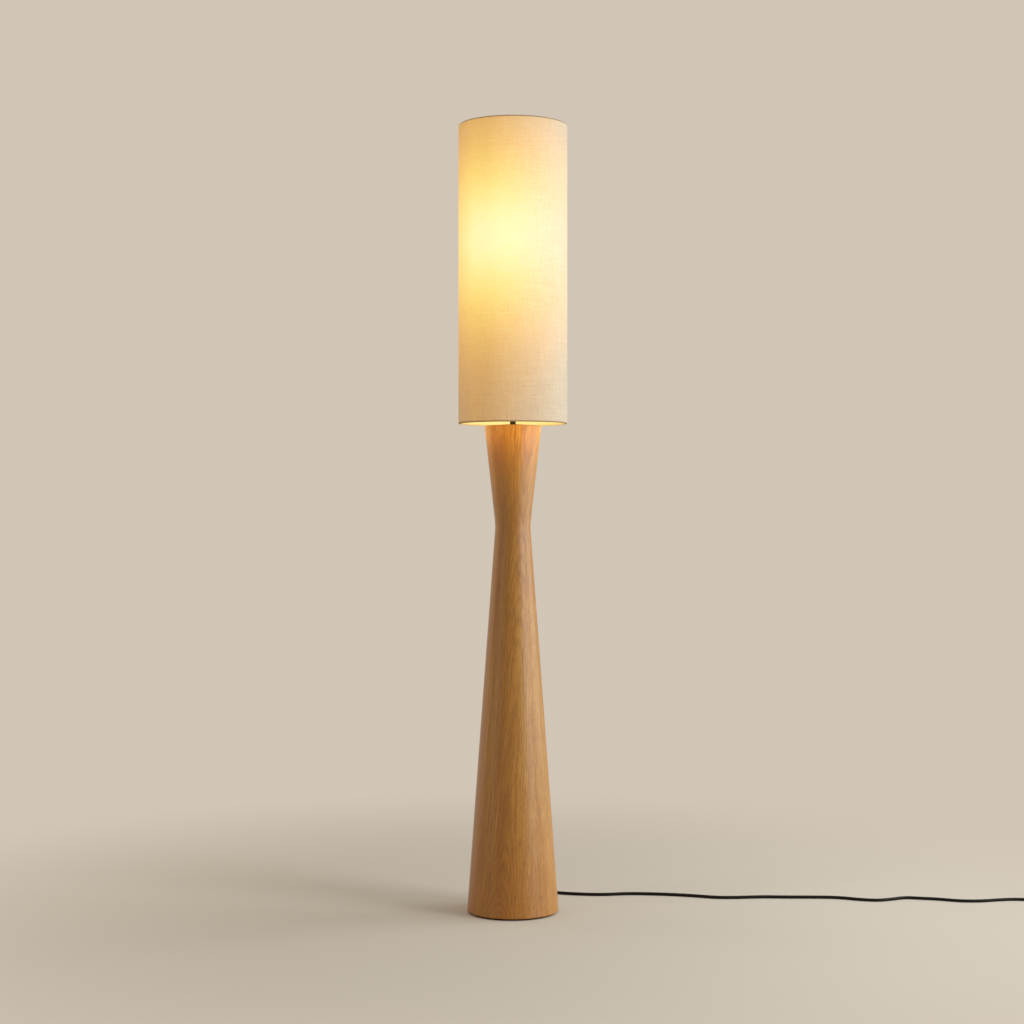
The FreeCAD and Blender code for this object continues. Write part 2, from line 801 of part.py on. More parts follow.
def switch_knob():
    """The fluted knob and its shaft, turned about Y towards the front."""
    shaft_start = block_radius - knob_shaft_depth
    grip_start = shell_radius + knob_stand_off
    grip_full = grip_start + knob_taper_length
    grip_end = grip_start + knob_length
    radius = knob_diameter / 2
    shaft = rod(at(0, shaft_start), UP, knob_shaft_diameter, grip_full - shaft_start)
    grip = turned([
        (0, grip_start), (radius - knob_taper, grip_start, knob_foot_round), (radius, grip_full),
        (radius, grip_end, knob_end_round), (0, grip_end),
    ])
    flute = rod(at(radius + knob_flute_offset, grip_full), UP, knob_flute_diameter, knob_length)
    for cut in copies(flute, knob_flutes):
        grip = grip.cut(cut)
    knob = fused([shaft, grip])
    return knob.rotate(Vector(), ACROSS, 90).translate(at(0, knob_height))


def inner_flex():
    """The flex inside the lamp: in from the gland, up the cavity and the tie tube."""
    start = Vector(0, gland_nose_y(), gland_height)
    points = [start, at(0, gland_height), at(0, flex_top)]
    bend = min(inner_flex_bend, start.y - inner_flex_diameter / 2)
    return tube(runs_and_arcs(points, [bend]), inner_flex_diameter)


def lampholder_wires():
    """The two cores, from the end of the flex to the terminal screws."""
    wires = []
    near = inner_flex_diameter / 4
    reach = flat_reach + conductor_diameter / 2 + slip
    leave = flex_top + core_straight
    for side in (-1, 1):
        points = [
            at(side * near, flex_top), at(side * near, leave), at(side * reach, leave + core_spread_height),
            at(side * reach, knob_height - terminal_screw_head / 2 - slip),
        ]
        wires.append(tube(runs_and_arcs(points, [core_bend, core_bend]), conductor_diameter))
    return Part.Compound(wires)


# ---------------------------------------------------------------- bulb
def bulb_cap():
    """The screw cap and its insulated tip; its thread stays plain."""
    cap_foot = bulb_foot + bulb_tip_height
    radius = bulb_cap_diameter / 2
    tip = bulb_tip_diameter / 2
    return turned([
        (0, bulb_foot), (tip, bulb_foot, bulb_tip_round), (tip + bulb_tip_step, bulb_foot + bulb_tip_lip),
        (radius - bulb_cap_chamfer, cap_foot), (radius, cap_foot + bulb_cap_chamfer),
        (radius, bulb_neck_height), (0, bulb_neck_height),
    ])


def bulb_housing():
    """The moulded body, flaring from the cap to the dome."""
    neck = bulb_neck_diameter / 2
    rim = bulb_diameter / 2
    return turned([
        (0, bulb_neck_height), (neck, bulb_neck_height),
        (neck, bulb_neck_height + bulb_neck_length, bulb_neck_round),
        (rim - bulb_shoulder_inset, bulb_board_height - bulb_shoulder_height, bulb_shoulder_round),
        (rim - bulb_rim_inset, bulb_board_height), (0, bulb_board_height),
    ])


def bulb_led_board():
    return disc(led_board_diameter, bulb_board_height, bulb_board_height + led_board_thickness)


def bulb_dome():
    """The diffusing dome, a thin shell over the board."""
    outer = bulb_diameter / 2
    inner = outer - bulb_dome_wall
    shoulder = bulb_board_height + bulb_shoulder_height
    curve = min(outer, bulb_dome_height) - bulb_dome_wall
    return turned([
        (inner - bulb_rim_inset, bulb_board_height), (outer - bulb_rim_inset, bulb_board_height),
        (outer, shoulder, bulb_dome_foot_round), (outer, bulb_top, curve), (0, bulb_top),
        (0, bulb_top - bulb_dome_wall), (inner, bulb_top - bulb_dome_wall, curve - bulb_dome_wall),
        (inner, shoulder, bulb_dome_foot_round - bulb_dome_wall),
    ])


# ---------------------------------------------------------------- shade
def arm(wire, reach_in):
    """One arm of the carrier: out from the hub, then up to the ring."""
    level = (hub_foot + hub_top) / 2
    knee = wire_ring_radius - arm_knee
    points = [at(reach_in, level), at(knee, level), at(wire_ring_radius, carrier_top)]
    return tube(runs_and_arcs(points, [arm_bend]), wire)


def shade_carrier():
    """The welded top frame: wire ring, three arms and the hub that drops over the harp's stud."""
    ring = Part.makeTorus(wire_ring_radius, shade_wire / 2, at(0, carrier_top), UP)
    hub = disc(hub_diameter, hub_foot, hub_top)
    arms = copies(arm(arm_wire, hub_diameter / 2 - arm_wire / 2), arm_count, 90)
    return fused([ring, hub] + arms).cut(disc(hub_hole, hub_foot, hub_top))


def shade_lower_ring():
    height = shade_foot + fabric_thickness + seat + shade_wire / 2
    return Part.makeTorus(wire_ring_radius, shade_wire / 2, at(0, height), UP)


def shade_liner():
    """The clear stiff sheet that the cloth is bonded to, between the two hem folds."""
    ends = fabric_thickness + hem_round
    bore = 2 * (liner_radius - liner_thickness)
    return disc(2 * liner_radius, shade_foot + ends, shade_top - ends, bore)


def shade_fabric():
    """The cover: a seamed tube of cloth whose hems turn in over both rings."""
    outer = shade_diameter / 2
    skin = outer - fabric_thickness
    hem_outer = wire_ring_radius - shade_wire / 2 - seat
    hem_inner = hem_outer - fabric_thickness
    low, high, turn = shade_foot, shade_top, hem_round
    cover = turned([
        (hem_inner, low + hem_depth), (hem_inner, low, turn), (outer, low, turn), (outer, high, turn),
        (hem_inner, high, turn), (hem_inner, high - hem_depth), (hem_outer, high - hem_depth),
        (hem_outer, high - fabric_thickness, turn / 2), (skin, high - fabric_thickness, turn / 2),
        (skin, low + fabric_thickness, turn / 2), (hem_outer, low + fabric_thickness, turn / 2),
        (hem_outer, low + hem_depth),
    ])
    half_seam = math.degrees(seam_width / shade_diameter)
    lap = turned([
        (outer - fabric_thickness / 2, low + turn), (outer + seam_proud, low + turn, seam_round),
        (outer + seam_proud, high - turn, seam_round), (outer - fabric_thickness / 2, high - turn),
    ])
    wedge = Part.makeCylinder(shade_diameter, shade_height, at(0, low), UP, 2 * half_seam)
    lap = lap.common(wedge.rotate(Vector(), UP, 90 - half_seam))
    cover = fused([cover, lap])
    for slit in copies(arm(arm_wire + 2 * clear, hub_diameter), arm_count, 90):
        cover = cover.cut(slit)
    return cover


def finial():
    """A turned finial with a blind thread, clamping the hub on the harp's flange."""
    thread = stud_diameter / 2 + slip
    base = finial_base_diameter / 2
    base_top = hub_top + finial_base_height
    ball = finial_ball_diameter / 2
    return turned([
        (thread, hub_top), (base, hub_top), (base, base_top, finial_base_round),
        (finial_neck_diameter / 2, base_top + finial_neck_rise, finial_neck_round),
        (ball, base_top + finial_ball_rise, finial_ball_foot_round),
        (ball, finial_top, ball - finial_tip_flat), (0, finial_top),
        (0, finial_thread_top), (thread, finial_thread_top),
    ])


# ---------------------------------------------------------------- cord, gland and plug
def cord_gland():
    """The moulded strain relief: barrel through the wall, flange in its seat, grooved tail."""
    seat_y = gland_seat_y()
    flange = seat_y + gland_flange_thickness
    tip = gland_tip().y
    barrel = gland_barrel_diameter / 2
    body = turned([
        (0, gland_nose_y()), (barrel, gland_nose_y(), gland_end_round), (barrel, seat_y),
        (gland_flange_diameter / 2, seat_y), (gland_flange_diameter / 2, flange, gland_flange_round),
        (gland_tail_root / 2, flange), (gland_tail_tip / 2, tip, gland_tip_round), (0, tip),
    ])
    half_groove = gland_groove_width / 2
    for i in range(gland_grooves):
        share = (i + 1) / (gland_grooves + 1)
        middle = flange + (tip - flange) * share
        around = gland_tail_root + (gland_tail_tip - gland_tail_root) * share
        core = around - 2 * gland_groove_depth
        body = body.cut(disc(2 * gland_tail_root, middle - half_groove, middle + half_groove, core))
    return body.rotate(Vector(), ACROSS, -90).translate(at(0, gland_height))


def lead_points():
    first = [gland_tip(), gland_tip() + BACK * lead_start]
    last = Vector(coil_centre_x - cord_diameter, lead_route[-1][1], cord_rest)
    return first + [Vector(*p) for p in lead_route] + [last]


def tail_points():
    start = Vector(coil_centre_x + cord_diameter, lead_route[-1][1], 0)
    return [start + Vector(*step) for step in tail_route]


def cord_stretch(points, name):
    """A free stretch of cord; its bends, and its volume against section times length, are printed."""
    radii = easy_radii(points)
    path = runs_and_arcs(points, radii)
    solid = tube(path, cord_diameter)
    share = solid.Volume / (math.pi * cord_rest ** 2 * path.Length)
    print(name, "length", round(path.Length, 1), "radii", [round(r) for r in radii])
    print(name, "volume over section times length", round(share, 4))
    return solid, path.Length


def coil_station(turns):
    """Place and heading of the coil's middle line after so many turns from the front."""
    rate = coil_pitch / (2 * math.pi)
    angle = 2 * math.pi * turns - math.pi / 2
    radius = coil_reach - coil_pitch * (coil_turning - abs(turns - coil_turning))
    climb = min(max((turns - coil_turning) / coil_climb + 0.5, 0), 1)
    height = cord_rest + coil_pitch * (1 - math.cos(math.pi * climb)) / 2
    place = Vector(
        coil_centre_x + radius * math.cos(angle), coil_centre_y + radius * math.sin(angle), height
    )
    straight = turns in (0, coil_turning, coil_turns)
    outward = 0 if straight else math.copysign(rate, turns - coil_turning)
    rise = coil_pitch / (4 * coil_climb) if turns == coil_turning else 0
    heading = Vector(
        outward * math.cos(angle) - radius * math.sin(angle),
        outward * math.sin(angle) + radius * math.cos(angle),
        rise,
    )
    return place, heading.normalize()


def biarc(start, leave, end, arrive):
    """Two arcs from one place and heading to another, smooth where they meet."""
    chord = end - start
    both = leave + arrive
    spread = 2 * (1 - leave.dot(arrive))
    along = chord.dot(both)
    reach = (math.sqrt(along ** 2 + spread * chord.dot(chord)) - along) / spread
    first = start + leave * reach
    second = end - arrive * reach
    join = (first + second) / 2
    arcs = []
    for near, apex, far in ((start, first, join), (join, second, end)):
        flat = (near + far) / 2
        cosine = math.cos((apex - near).getAngle(far - near))
        arcs.append(Part.Arc(near, flat + (apex - flat) * (cosine / (1 + cosine)), far).toShape())
    return arcs


def coil_path():
    """Spiral in on the floor, climb while the spiral reverses, spiral out on top; straight ends."""
    stations = [coil_station(i / 4) for i in range(4 * coil_turns + 1)]
    enter, heading_in = stations[0]
    leave, heading_out = stations[-1]
    edges = [Part.LineSegment(enter - heading_in * cord_diameter, enter).toShape()]
    for (start, away), (end, arrive) in zip(stations, stations[1:]):
        edges += biarc(start, away, end, arrive)
    edges.append(Part.LineSegment(leave, leave + heading_out * cord_diameter).toShape())
    return Part.Wire(edges)


def least_gap(path):
    """The nearest that two turns of a path come to each other, less the cord's diameter."""
    step = 2.0
    count = round(path.Length / step)
    spots = path.discretize(count)
    apart = round(4 * cord_diameter / step)
    nearest = min(
        spots[i].distanceToPoint(spots[j]) for i in range(count) for j in range(i + apart, count)
    )
    return nearest - cord_diameter


def cord_coil():
    path = coil_path()
    solid = tube(path, cord_diameter)
    share = solid.Volume / (math.pi * cord_rest ** 2 * path.Length)
    print("cord_coil length", round(path.Length, 1), "least gap", round(least_gap(path), 2))
    print("cord_coil volume over section times length", round(share, 4))
    return solid, path.Length


def plug_place():
    return tail_points()[-1]


def plug_section(distance, width, thickness, rounding):
    """A rounded rectangle across the plug, this far from its cord end."""
    x = plug_place().x + distance
    y = plug_place().y
    z = plug_place().z
    wide, tall = width / 2, thickness / 2
    return outline([
        (x, y - wide, z - tall, rounding), (x, y + wide, z - tall, rounding),
        (x, y + wide, z + tall, rounding), (x, y - wide, z + tall, rounding),
    ])


def plug_blade(side, gap=0.0):
    """One flat blade with its hole, or with a gap the pocket that its root fills."""
    face = plug_place() + ACROSS * (plug_relief_length + plug_length)
    wide = blade_width + 2 * gap
    thick = blade_thickness + 2 * gap
    corner_point = face + Vector(-blade_root - gap, side * blade_spacing / 2 - thick / 2, -wide / 2)
    blade = Part.makeBox(blade_root + blade_length + gap, thick, wide, corner_point)
    if gap:
        return blade
    hole = face + Vector(blade_length - blade_hole_set_back, side * blade_spacing / 2 - thick, 0)
    return blade.cut(rod(hole, BACK, blade_hole, 2 * thick))


def plug_body():
    """A moulded two-blade plug with a tapered relief, drawn-in sides and ribbed grips."""
    rear = plug_relief_length
    front = plug_relief_length + plug_length
    body = Part.makeLoft(
        [
            plug_section(rear, plug_rear_width, plug_relief_root, plug_round),
            plug_section(rear + plug_shoulder, plug_width - plug_draft, plug_thickness - plug_draft / 2,
                         plug_round),
            plug_section(front, plug_width, plug_thickness, plug_round),
        ],
        True, True,
    )
    relief = Part.makeCone(
        plug_relief_tip / 2, plug_relief_root / 2, plug_relief_length, plug_place(), ACROSS
    )
    body = fused([body, relief])
    grip_step = (plug_length - plug_shoulder) / (plug_grips + 1)
    for side in (-1, 1):
        for i in range(plug_grips):
            along = rear + plug_shoulder + grip_step * (i + 1)
            spot = plug_place() + Vector(along, side * plug_width / 2, -plug_thickness)
            body = body.cut(rod(spot, UP, plug_grip_diameter, 2 * plug_thickness))
        body = body.cut(plug_blade(side, slip))
    return body


def plug_blades():
    return Part.Compound([plug_blade(-1), plug_blade(1)])


# ---------------------------------------------------------------- write every piece
def save(name, shape):
    sound = all(solid.isValid() for solid in shape.Solids)
    print(name, len(shape.Solids), "solid(s)", "" if sound else "NOT VALID", round(shape.Volume))
    shape.exportStep(os.path.join("parts", name + ".step"))


lead, lead_length = cord_stretch(lead_points(), "cord_lead")
coil, coil_length = cord_coil()
tail, tail_length = cord_stretch(tail_points(), "cord_tail")
print("cord, in all", round(lead_length + coil_length + tail_length))

pieces = {
    "foot_pad": foot_pad(),
    "base_weight": base_weight(),
    "base_screws": Part.Compound(screw_pattern(base_screw())),
    "column_lower": column_lower(),
    "column_upper": column_upper(),
    "tie_tube": tie_tube(),
    "lower_washer": lower_washer(),
    "lower_nut": lower_nut(),
    "top_washer": top_washer(),
    "top_nut": top_nut(),
    "top_cover": top_cover(),
    "stem": stem(),
    "harp_saddle": harp_saddle(),
    "harp": harp(),
    "harp_stud": harp_stud(),
    "ferrule_left": ferrule(-1),
    "ferrule_right": ferrule(1),
    "lampholder_cap": lampholder_cap(),
    "lampholder_shell": lampholder_shell(),
    "lampholder_sleeve": lampholder_sleeve(),
    "switch_block": switch_block(),
    "screw_shell": screw_shell(),
    "centre_contact": centre_contact(),
    "terminal_screws": terminal_screws(),
    "lampholder_wires": lampholder_wires(),
    "inner_flex": inner_flex(),
    "switch_knob": switch_knob(),
    "bulb_cap": bulb_cap(),
    "bulb_housing": bulb_housing(),
    "bulb_led_board": bulb_led_board(),
    "bulb_dome": bulb_dome(),
    "shade_carrier": shade_carrier(),
    "shade_lower_ring": shade_lower_ring(),
    "shade_liner": shade_liner(),
    "shade_fabric": shade_fabric(),
    "finial": finial(),
    "cord_gland": cord_gland(),
    "cord_lead": lead,
    "cord_coil": coil,
    "cord_tail": tail,
    "plug_body": plug_body(),
    "plug_blades": plug_blades(),
}
for name, shape in pieces.items():
    save(name, shape)
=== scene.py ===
import json
import math

import bmesh
import bpy
from mathutils import Euler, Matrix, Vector


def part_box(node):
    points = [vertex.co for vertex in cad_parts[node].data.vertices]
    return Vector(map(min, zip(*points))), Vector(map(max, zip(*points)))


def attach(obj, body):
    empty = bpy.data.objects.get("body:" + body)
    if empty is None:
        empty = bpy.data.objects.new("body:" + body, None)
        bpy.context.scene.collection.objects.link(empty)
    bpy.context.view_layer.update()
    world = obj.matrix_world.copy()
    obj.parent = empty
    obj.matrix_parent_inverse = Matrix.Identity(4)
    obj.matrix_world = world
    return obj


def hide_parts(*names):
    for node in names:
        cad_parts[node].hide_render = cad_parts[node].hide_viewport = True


# The looks of a column floor lamp: a lacquered oak hourglass under a tall lit drum shade of cream linen.
# Metres. The frame's origin is the middle of the foot on the floor, +Z is up, +Y is the back.

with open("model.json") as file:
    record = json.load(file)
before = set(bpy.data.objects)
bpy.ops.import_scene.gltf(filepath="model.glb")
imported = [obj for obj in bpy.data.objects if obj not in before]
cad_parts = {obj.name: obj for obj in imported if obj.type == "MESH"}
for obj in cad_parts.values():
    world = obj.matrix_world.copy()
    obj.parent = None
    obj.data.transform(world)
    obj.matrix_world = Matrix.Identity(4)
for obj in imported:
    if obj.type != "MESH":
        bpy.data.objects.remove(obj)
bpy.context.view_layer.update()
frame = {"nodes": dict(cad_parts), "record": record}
bpy.context.scene.view_settings.view_transform = "Standard"

# ---------------------------------------------------------------- places taken from the frame
cover_low, cover_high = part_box("shade_fabric")
shade_foot, shade_top = cover_low.z, cover_high.z
shade_radius = cover_high.x
ring_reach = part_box("shade_lower_ring")[1].x
crown_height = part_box("column_upper")[1].z
dome_low, dome_high = (corner.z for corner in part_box("bulb_dome"))

# ---------------------------------------------------------------- the shade's cover
cloth_thickness = 0.0008
hem_depth = 0.011
hem_gap = 0.0001                # between the hem's fold and the wire ring inside it
ring_wire = 0.0035
rim_round = 0.0022
bend_steps = 5                  # facets of a rounded bend, in the cover and in the coil's tie
cover_steps = 180               # around the axis
cover_cuts = 40                 # along the height
arm_angles = (90, 210, 330)     # the top hem is notched where the carrier's three arms pass it
notch_half = 2.0                # degrees each side of an arm
lap_width = 0.013               # the cover's own overlap along the seam at the back
lap_rise = 0.0010               # the overlapping end lies this much further out

# ---------------------------------------------------------------- linen
linen_threads = 1150.0          # a metre
linen_slubs = 0.7
linen_relief = 0.00022
linen_tones = [
    (0.30, (0.485, 0.400, 0.290)), (0.50, (0.582, 0.508, 0.400)), (0.70, (0.636, 0.575, 0.468)),
]
fleck_colour = (0.460, 0.290, 0.125, 1)
fleck_strength = 0.42
# painted shade: the rolled rims are coloured darker than the linen, as the shade they lie in
rim_shade_colour = (0.330, 0.230, 0.110, 1)
rim_line = (0.0008, 0.0040)     # from either end, the cover's folded rim eases into open cloth here
lap_line = (0.0060, 0.0075)     # the lap's edges lie between these, each side of its middle
lap_depth = 0.05                # and only further behind the axis than this
thread_wander = 0.0012          # how far a thread strays from straight
warp_slubs, weft_slubs = 28.0, 22.0     # changes of tone a metre along a thread
slub_shift = 7.31               # moves the tones on from one thread to the next

# ---------------------------------------------------------------- the lit shade
glow_height = 1.352             # the middle of the bulb's light
glow_reach = 0.185              # how far it spreads above and below
glow_floor = 0.18               # share that reaches the whole height
core_reach = 0.085              # the whiter patch nearest to the bulb
# Across the cover, between the first two places, the light goes from the third value to the fourth.
glow_right = (-0.044, 0.176, 1.0, 0.10)
glow_left = (-0.125, -0.070, 0.70, 1.0)
core_left = (-0.115, -0.065, 0.35, 1.0)
glow_colours = [
    (0.00, (0.000, 0.000, 0.000)), (0.07, (0.085, 0.033, 0.003)), (0.20, (0.360, 0.160, 0.010)),
    (0.35, (0.545, 0.270, 0.022)), (0.50, (0.680, 0.380, 0.036)), (0.80, (0.820, 0.610, 0.060)),
    (1.00, (0.920, 0.760, 0.080)),
]
core_colour = (0.04, 0.02, 0.27, 1)
thread_glow = 0.55              # how much the threads' uneven tone shows in the light
fleck_shade = 0.16              # share of the light that a fleck holds back
lap_glow = 0.55                 # share of the light that the lap's two layers let out
rim_glow = (0.030, 0.012, 0.0, 1)
inside_line = (shade_radius - 0.0030, shade_radius - 0.0050)    # the hems' inner folds lie inside these
inside_glow = [
    (0.00, (0.680, 0.460, 0.150)), (0.40, (0.700, 0.520, 0.190)), (1.00, (0.760, 0.620, 0.300)),
]
lining_strength = 0.8
lining_tones = ((0.86, 0.80, 0.68, 1), (0.90, 0.85, 0.74, 1))
dome_strength = 2.2
dome_tones = [(0.00, (0.66, 0.60, 0.48)), (0.40, (0.74, 0.69, 0.57))]
dome_glow = [(0.00, (0.80, 0.46, 0.16)), (0.35, (0.95, 0.70, 0.34)), (0.90, (1.00, 0.78, 0.42))]

# ---------------------------------------------------------------- oak
oak_tones = [
    (0.30, (0.430, 0.177, 0.024)), (0.52, (0.520, 0.244, 0.039)), (0.72, (0.600, 0.309, 0.062)),
]
oak_stains = {                  # how strongly each mark shows, and its colour
    "late": (0.40, (0.310, 0.108, 0.014, 1)),
    "early": (0.30, (0.250, 0.086, 0.012, 1)),
    "dark_streaks": (0.34, (0.290, 0.098, 0.013, 1)),
    "pale_streaks": (0.24, (0.700, 0.410, 0.130, 1)),
    "strands": (0.34, (0.260, 0.088, 0.014, 1)),
    "fibres": (0.24, (0.270, 0.090, 0.014, 1)),
    "pores": (0.55, (0.105, 0.036, 0.010, 1)),
    "dashes": (0.34, (0.190, 0.066, 0.014, 1)),
}
# painted shade: the wood is coloured darker and warmer towards the foot
foot_painted_shade = (1.0, 0.92, 0.78, 1)
foot_shade_top = 0.42            # the painted shade, darker and warmer towards the foot, has faded out at this height
pith_place = (0.045, 0.155, 0)  # from the log's pith back to the column's axis
pith_lean = (0.055, -0.14, 0)
grain_lean = (0, -0.08, 0)
root_depth = 0.036              # the pith comes this much nearer to the column at its foot
root_fade = 12.0                # how fast that ends upwards, a metre
ring_sway = 0.020               # how far the rings wander
ring_rate = 250.0               # growth rings a metre
ring_change = 95.0              # how often their width changes, a metre
ring_spread = 3.0               # and by how many rings
early_part = (0.0, 0.42)        # the early wood fades out over this part of a ring
late_part = (0.60, 0.98)        # and the late wood fades in over this one
oak_relief = 0.00012

# ---------------------------------------------------------------- cord
cord_diameter = 0.0065
cord_rest = cord_diameter / 2
cord_facets = 6                 # steps from one point of the route to the next
cord_bevel = 5                  # the curve's bevel resolution
gland_tip = Vector((0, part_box("cord_gland")[1].y, 0.022))
lead_start = 0.018              # the cord leaves the gland straight for this much
lead_route = [
    (0.006, 0.157, 0.018), (0.024, 0.174, 0.011), (0.050, 0.180, 0.0052),
    (0.080, 0.175, cord_rest), (0.112, 0.162, cord_rest), (0.150, 0.153, cord_rest),
    (0.193, 0.149, cord_rest), (0.240, 0.161, cord_rest), (0.288, 0.158, cord_rest),
    (0.336, 0.150, cord_rest), (0.382, 0.138, cord_rest), (0.426, 0.119, cord_rest),
    (0.474, 0.121, cord_rest), (0.524, 0.128, cord_rest), (0.576, 0.124, cord_rest),
    (0.630, 0.124, cord_rest), (0.680, 0.121, cord_rest), (0.720, 0.099, cord_rest),
    (0.756, 0.090, cord_rest), (0.788, 0.103, cord_rest), (0.818, 0.120, cord_rest),
    (0.848, 0.112, cord_rest), (0.884, 0.104, cord_rest), (0.926, 0.084, cord_rest),
    (0.970, 0.084, cord_rest), (1.010, 0.097, cord_rest), (1.050, 0.103, cord_rest),
    (1.090, 0.088, cord_rest), (1.1285, 0.088, cord_rest),
]
coil_centre = Vector((1.135, 0.1301, 0))
coil_pitch = 0.0071             # between neighbouring turns, and between the two layers
coil_reach = 0.0421             # middle line of the outer turn
coil_turns = 4
coil_steps = 16                 # points for each turn
coil_climb = 0.5                # the climb to the upper layer takes this much of a turn
tie_width = 0.009
tie_thickness = 0.001
tie_overlap = 0.011             # each end's reach along the top
tie_round = 0.003
tail_route = [
    (1.1415, 0.088, 0.01035), (1.159, 0.088, 0.01035), (1.179, 0.089, 0.00515), (1.1995, 0.087, 0.00325),
    (1.2215, 0.083, 0.00325), (1.2425, 0.081, 0.00725), (1.2605, 0.081, 0.00725),
]

# ---------------------------------------------------------------- light that leaves the shade's mouth
spill_count = 10
spill_power = 0.138
spill_lean = 0.40               # how much weaker it is at the sides
spill_colour = (1.0, 0.66, 0.08)
spill_dip = Vector((0, 0, -0.50))       # it shines inwards and down by this
spill_reach = 0.130             # out from the axis, under the shade's rim
spill_height = crown_height - 0.004
spill_size = 0.006
spill_cone = 80                 # degrees
spill_softness = 0.7

# ---------------------------------------------------------------- stage
camera_place = (0, -3.786, 0.811)
camera_lens = 65.8              # millimetres, as is the sensor
camera_sensor = 36.0
camera_shift = (-0.00085, -0.0016)
background = (0.640, 0.560, 0.470, 1)
floor_colour = (0.74, 0.67, 0.575, 1)
floor_radius = 14.0
floor_sides = 96
floor_fade = (0.35, 1.7)        # it turns into the background between these distances from the axis
fill_colour = (1.0, 0.94, 0.85, 1)
fill_strength = 0.22
soft_boxes = [                  # name, place, the spot it faces, width and height, watts, colour
    ("key", (2.60, -1.50, 1.30), (0, 0, 0.85), (1.3, 2.4), 56.0, (0.92, 0.98, 1.0)),
    ("side", (2.95, 0.50, 1.30), (0, 0, 0.85), (2.0, 2.4), 48.0, (0.88, 0.97, 1.0)),
    ("strip", (-2.35, -1.25, 1.2), (0, 0, 0.9), (0.35, 2.2), 6.0, (1.0, 0.95, 0.88)),
    ("rim", (-2.5, 1.1, 1.3), (0, 0, 0.9), (1.0, 2.2), 9.0, (1.0, 0.70, 0.40)),
    ("top", (0.0, 0.3, 4.2), (0, 0, 0.6), (3.6, 3.6), 34.0, (1.0, 0.98, 0.95)),
]


# ---------------------------------------------------------------- shader nodes
def put(tree, kind, inputs=None, **settings):
    """Adds a node. Each input gets its value, or a link if the value is another node's socket."""
    node = tree.nodes.new("ShaderNode" + kind)
    for name, value in settings.items():
        setattr(node, name, value)
    for key, value in (inputs or {}).items():
        if isinstance(value, bpy.types.NodeSocket):
            tree.links.new(value, node.inputs[key])
        else:
            node.inputs[key].default_value = value
    return node


def calc(tree, operation, *values):
    """A Math node's result."""
    return put(tree, "Math", dict(enumerate(values)), operation=operation).outputs[0]


def spread(tree, value, low, high, to_low=0.0, to_high=1.0):
    """A value eased from one range to another, and held at its ends."""
    inputs = {0: value, 1: low, 2: high, 3: to_low, 4: to_high}
    return put(tree, "MapRange", inputs, interpolation_type="SMOOTHSTEP").outputs[0]


def blend(tree, factor, first, second, how="MIX"):
    """Two colours mixed. A Mix node's sockets 6 and 7 take colours, and its output 2 gives one."""
    node = put(tree, "Mix", {0: factor, 6: first, 7: second}, data_type="RGBA", blend_type=how)
    return node.outputs[2]


def ramp(tree, value, stops):
    """A colour read off a ramp of (position, colour) stops."""
    node = put(tree, "ValToRGB", {0: value})
    marks = node.color_ramp.elements
    while len(marks) < len(stops):
        marks.new(0.5)
    for mark, (position, colour) in zip(marks, stops):
        mark.position = position
        mark.color = (*colour, 1)
    return node.outputs[0]


def mapped(tree, place, scale=(1, 1, 1), location=(0, 0, 0), rotation=(0, 0, 0)):
    """A place scaled, turned and shifted."""
    inputs = {0: place, 1: location, 2: rotation, 3: scale}
    return put(tree, "Mapping", inputs).outputs[0]


def noise(tree, place, scale, detail=2.0, roughness=0.5):
    """Clouds of one size in all directions."""
    inputs = {"Vector": place, "Scale": scale, "Detail": detail, "Roughness": roughness}
    return put(tree, "TexNoise", inputs).outputs[0]


def drawn_noise(tree, place, rates, detail=2.0, roughness=0.5):
    """Clouds drawn out, with a rate of change along each axis."""
    return noise(tree, mapped(tree, place, rates), scale=1.0, detail=detail, roughness=roughness)


def parts_of(tree, place):
    """A place's x, y and z."""
    return put(tree, "SeparateXYZ", {0: place}).outputs


def from_axis(tree, x, y):
    """How far (x, y) lies from (0, 0)."""
    squared = calc(tree, "ADD", calc(tree, "MULTIPLY", x, x), calc(tree, "MULTIPLY", y, y))
    return calc(tree, "SQRT", squared)


def fasten(tree, socket, value):
    """Feeds a socket with a result."""
    tree.links.new(value, socket)


def effect(name, inputs, outputs):
    """A shared node group: its tree, and the sockets that bring values in and take results out."""
    tree = bpy.data.node_groups.new(name, "ShaderNodeTree")
    for label, kind, default in inputs:
        socket = tree.interface.new_socket(label, in_out="INPUT", socket_type="NodeSocket" + kind)
        socket.default_value = default
    for label, kind in outputs:
        tree.interface.new_socket(label, in_out="OUTPUT", socket_type="NodeSocket" + kind)
    return tree, tree.nodes.new("NodeGroupInput").outputs, tree.nodes.new("NodeGroupOutput").inputs


def use(tree, group, inputs):
    """A shared effect placed in a material: its results."""
    return put(tree, "Group", inputs, node_tree=group).outputs


# ---------------------------------------------------------------- effects that several finishes share
def handled_surface():
    """Uneven gloss, as a surface has that was wiped and handled."""
    tree, given, result = effect(
        "handled_surface",
        [("Place", "Vector", (0, 0, 0)), ("Scale", "Float", 40.0),
         ("Gloss", "Float", 0.4), ("Spread", "Float", 0.1)],
        [("Roughness", "Float"), ("Mask", "Float")],
    )
    fine_share = 0.35
    fine_scale = calc(tree, "MULTIPLY", given["Scale"], 9.0)
    broad = noise(tree, given["Place"], given["Scale"], detail=4.0, roughness=0.6)
    fine = noise(tree, given["Place"], fine_scale, detail=2.0, roughness=0.7)
    mask = calc(tree, "MULTIPLY_ADD", fine, fine_share, calc(tree, "MULTIPLY", broad, 1 - fine_share))
    offset = calc(tree, "MULTIPLY", calc(tree, "SUBTRACT", mask, 0.5), given["Spread"])
    fasten(tree, result["Roughness"], calc(tree, "ADD", given["Gloss"], offset))
    fasten(tree, result["Mask"], mask)
    return tree


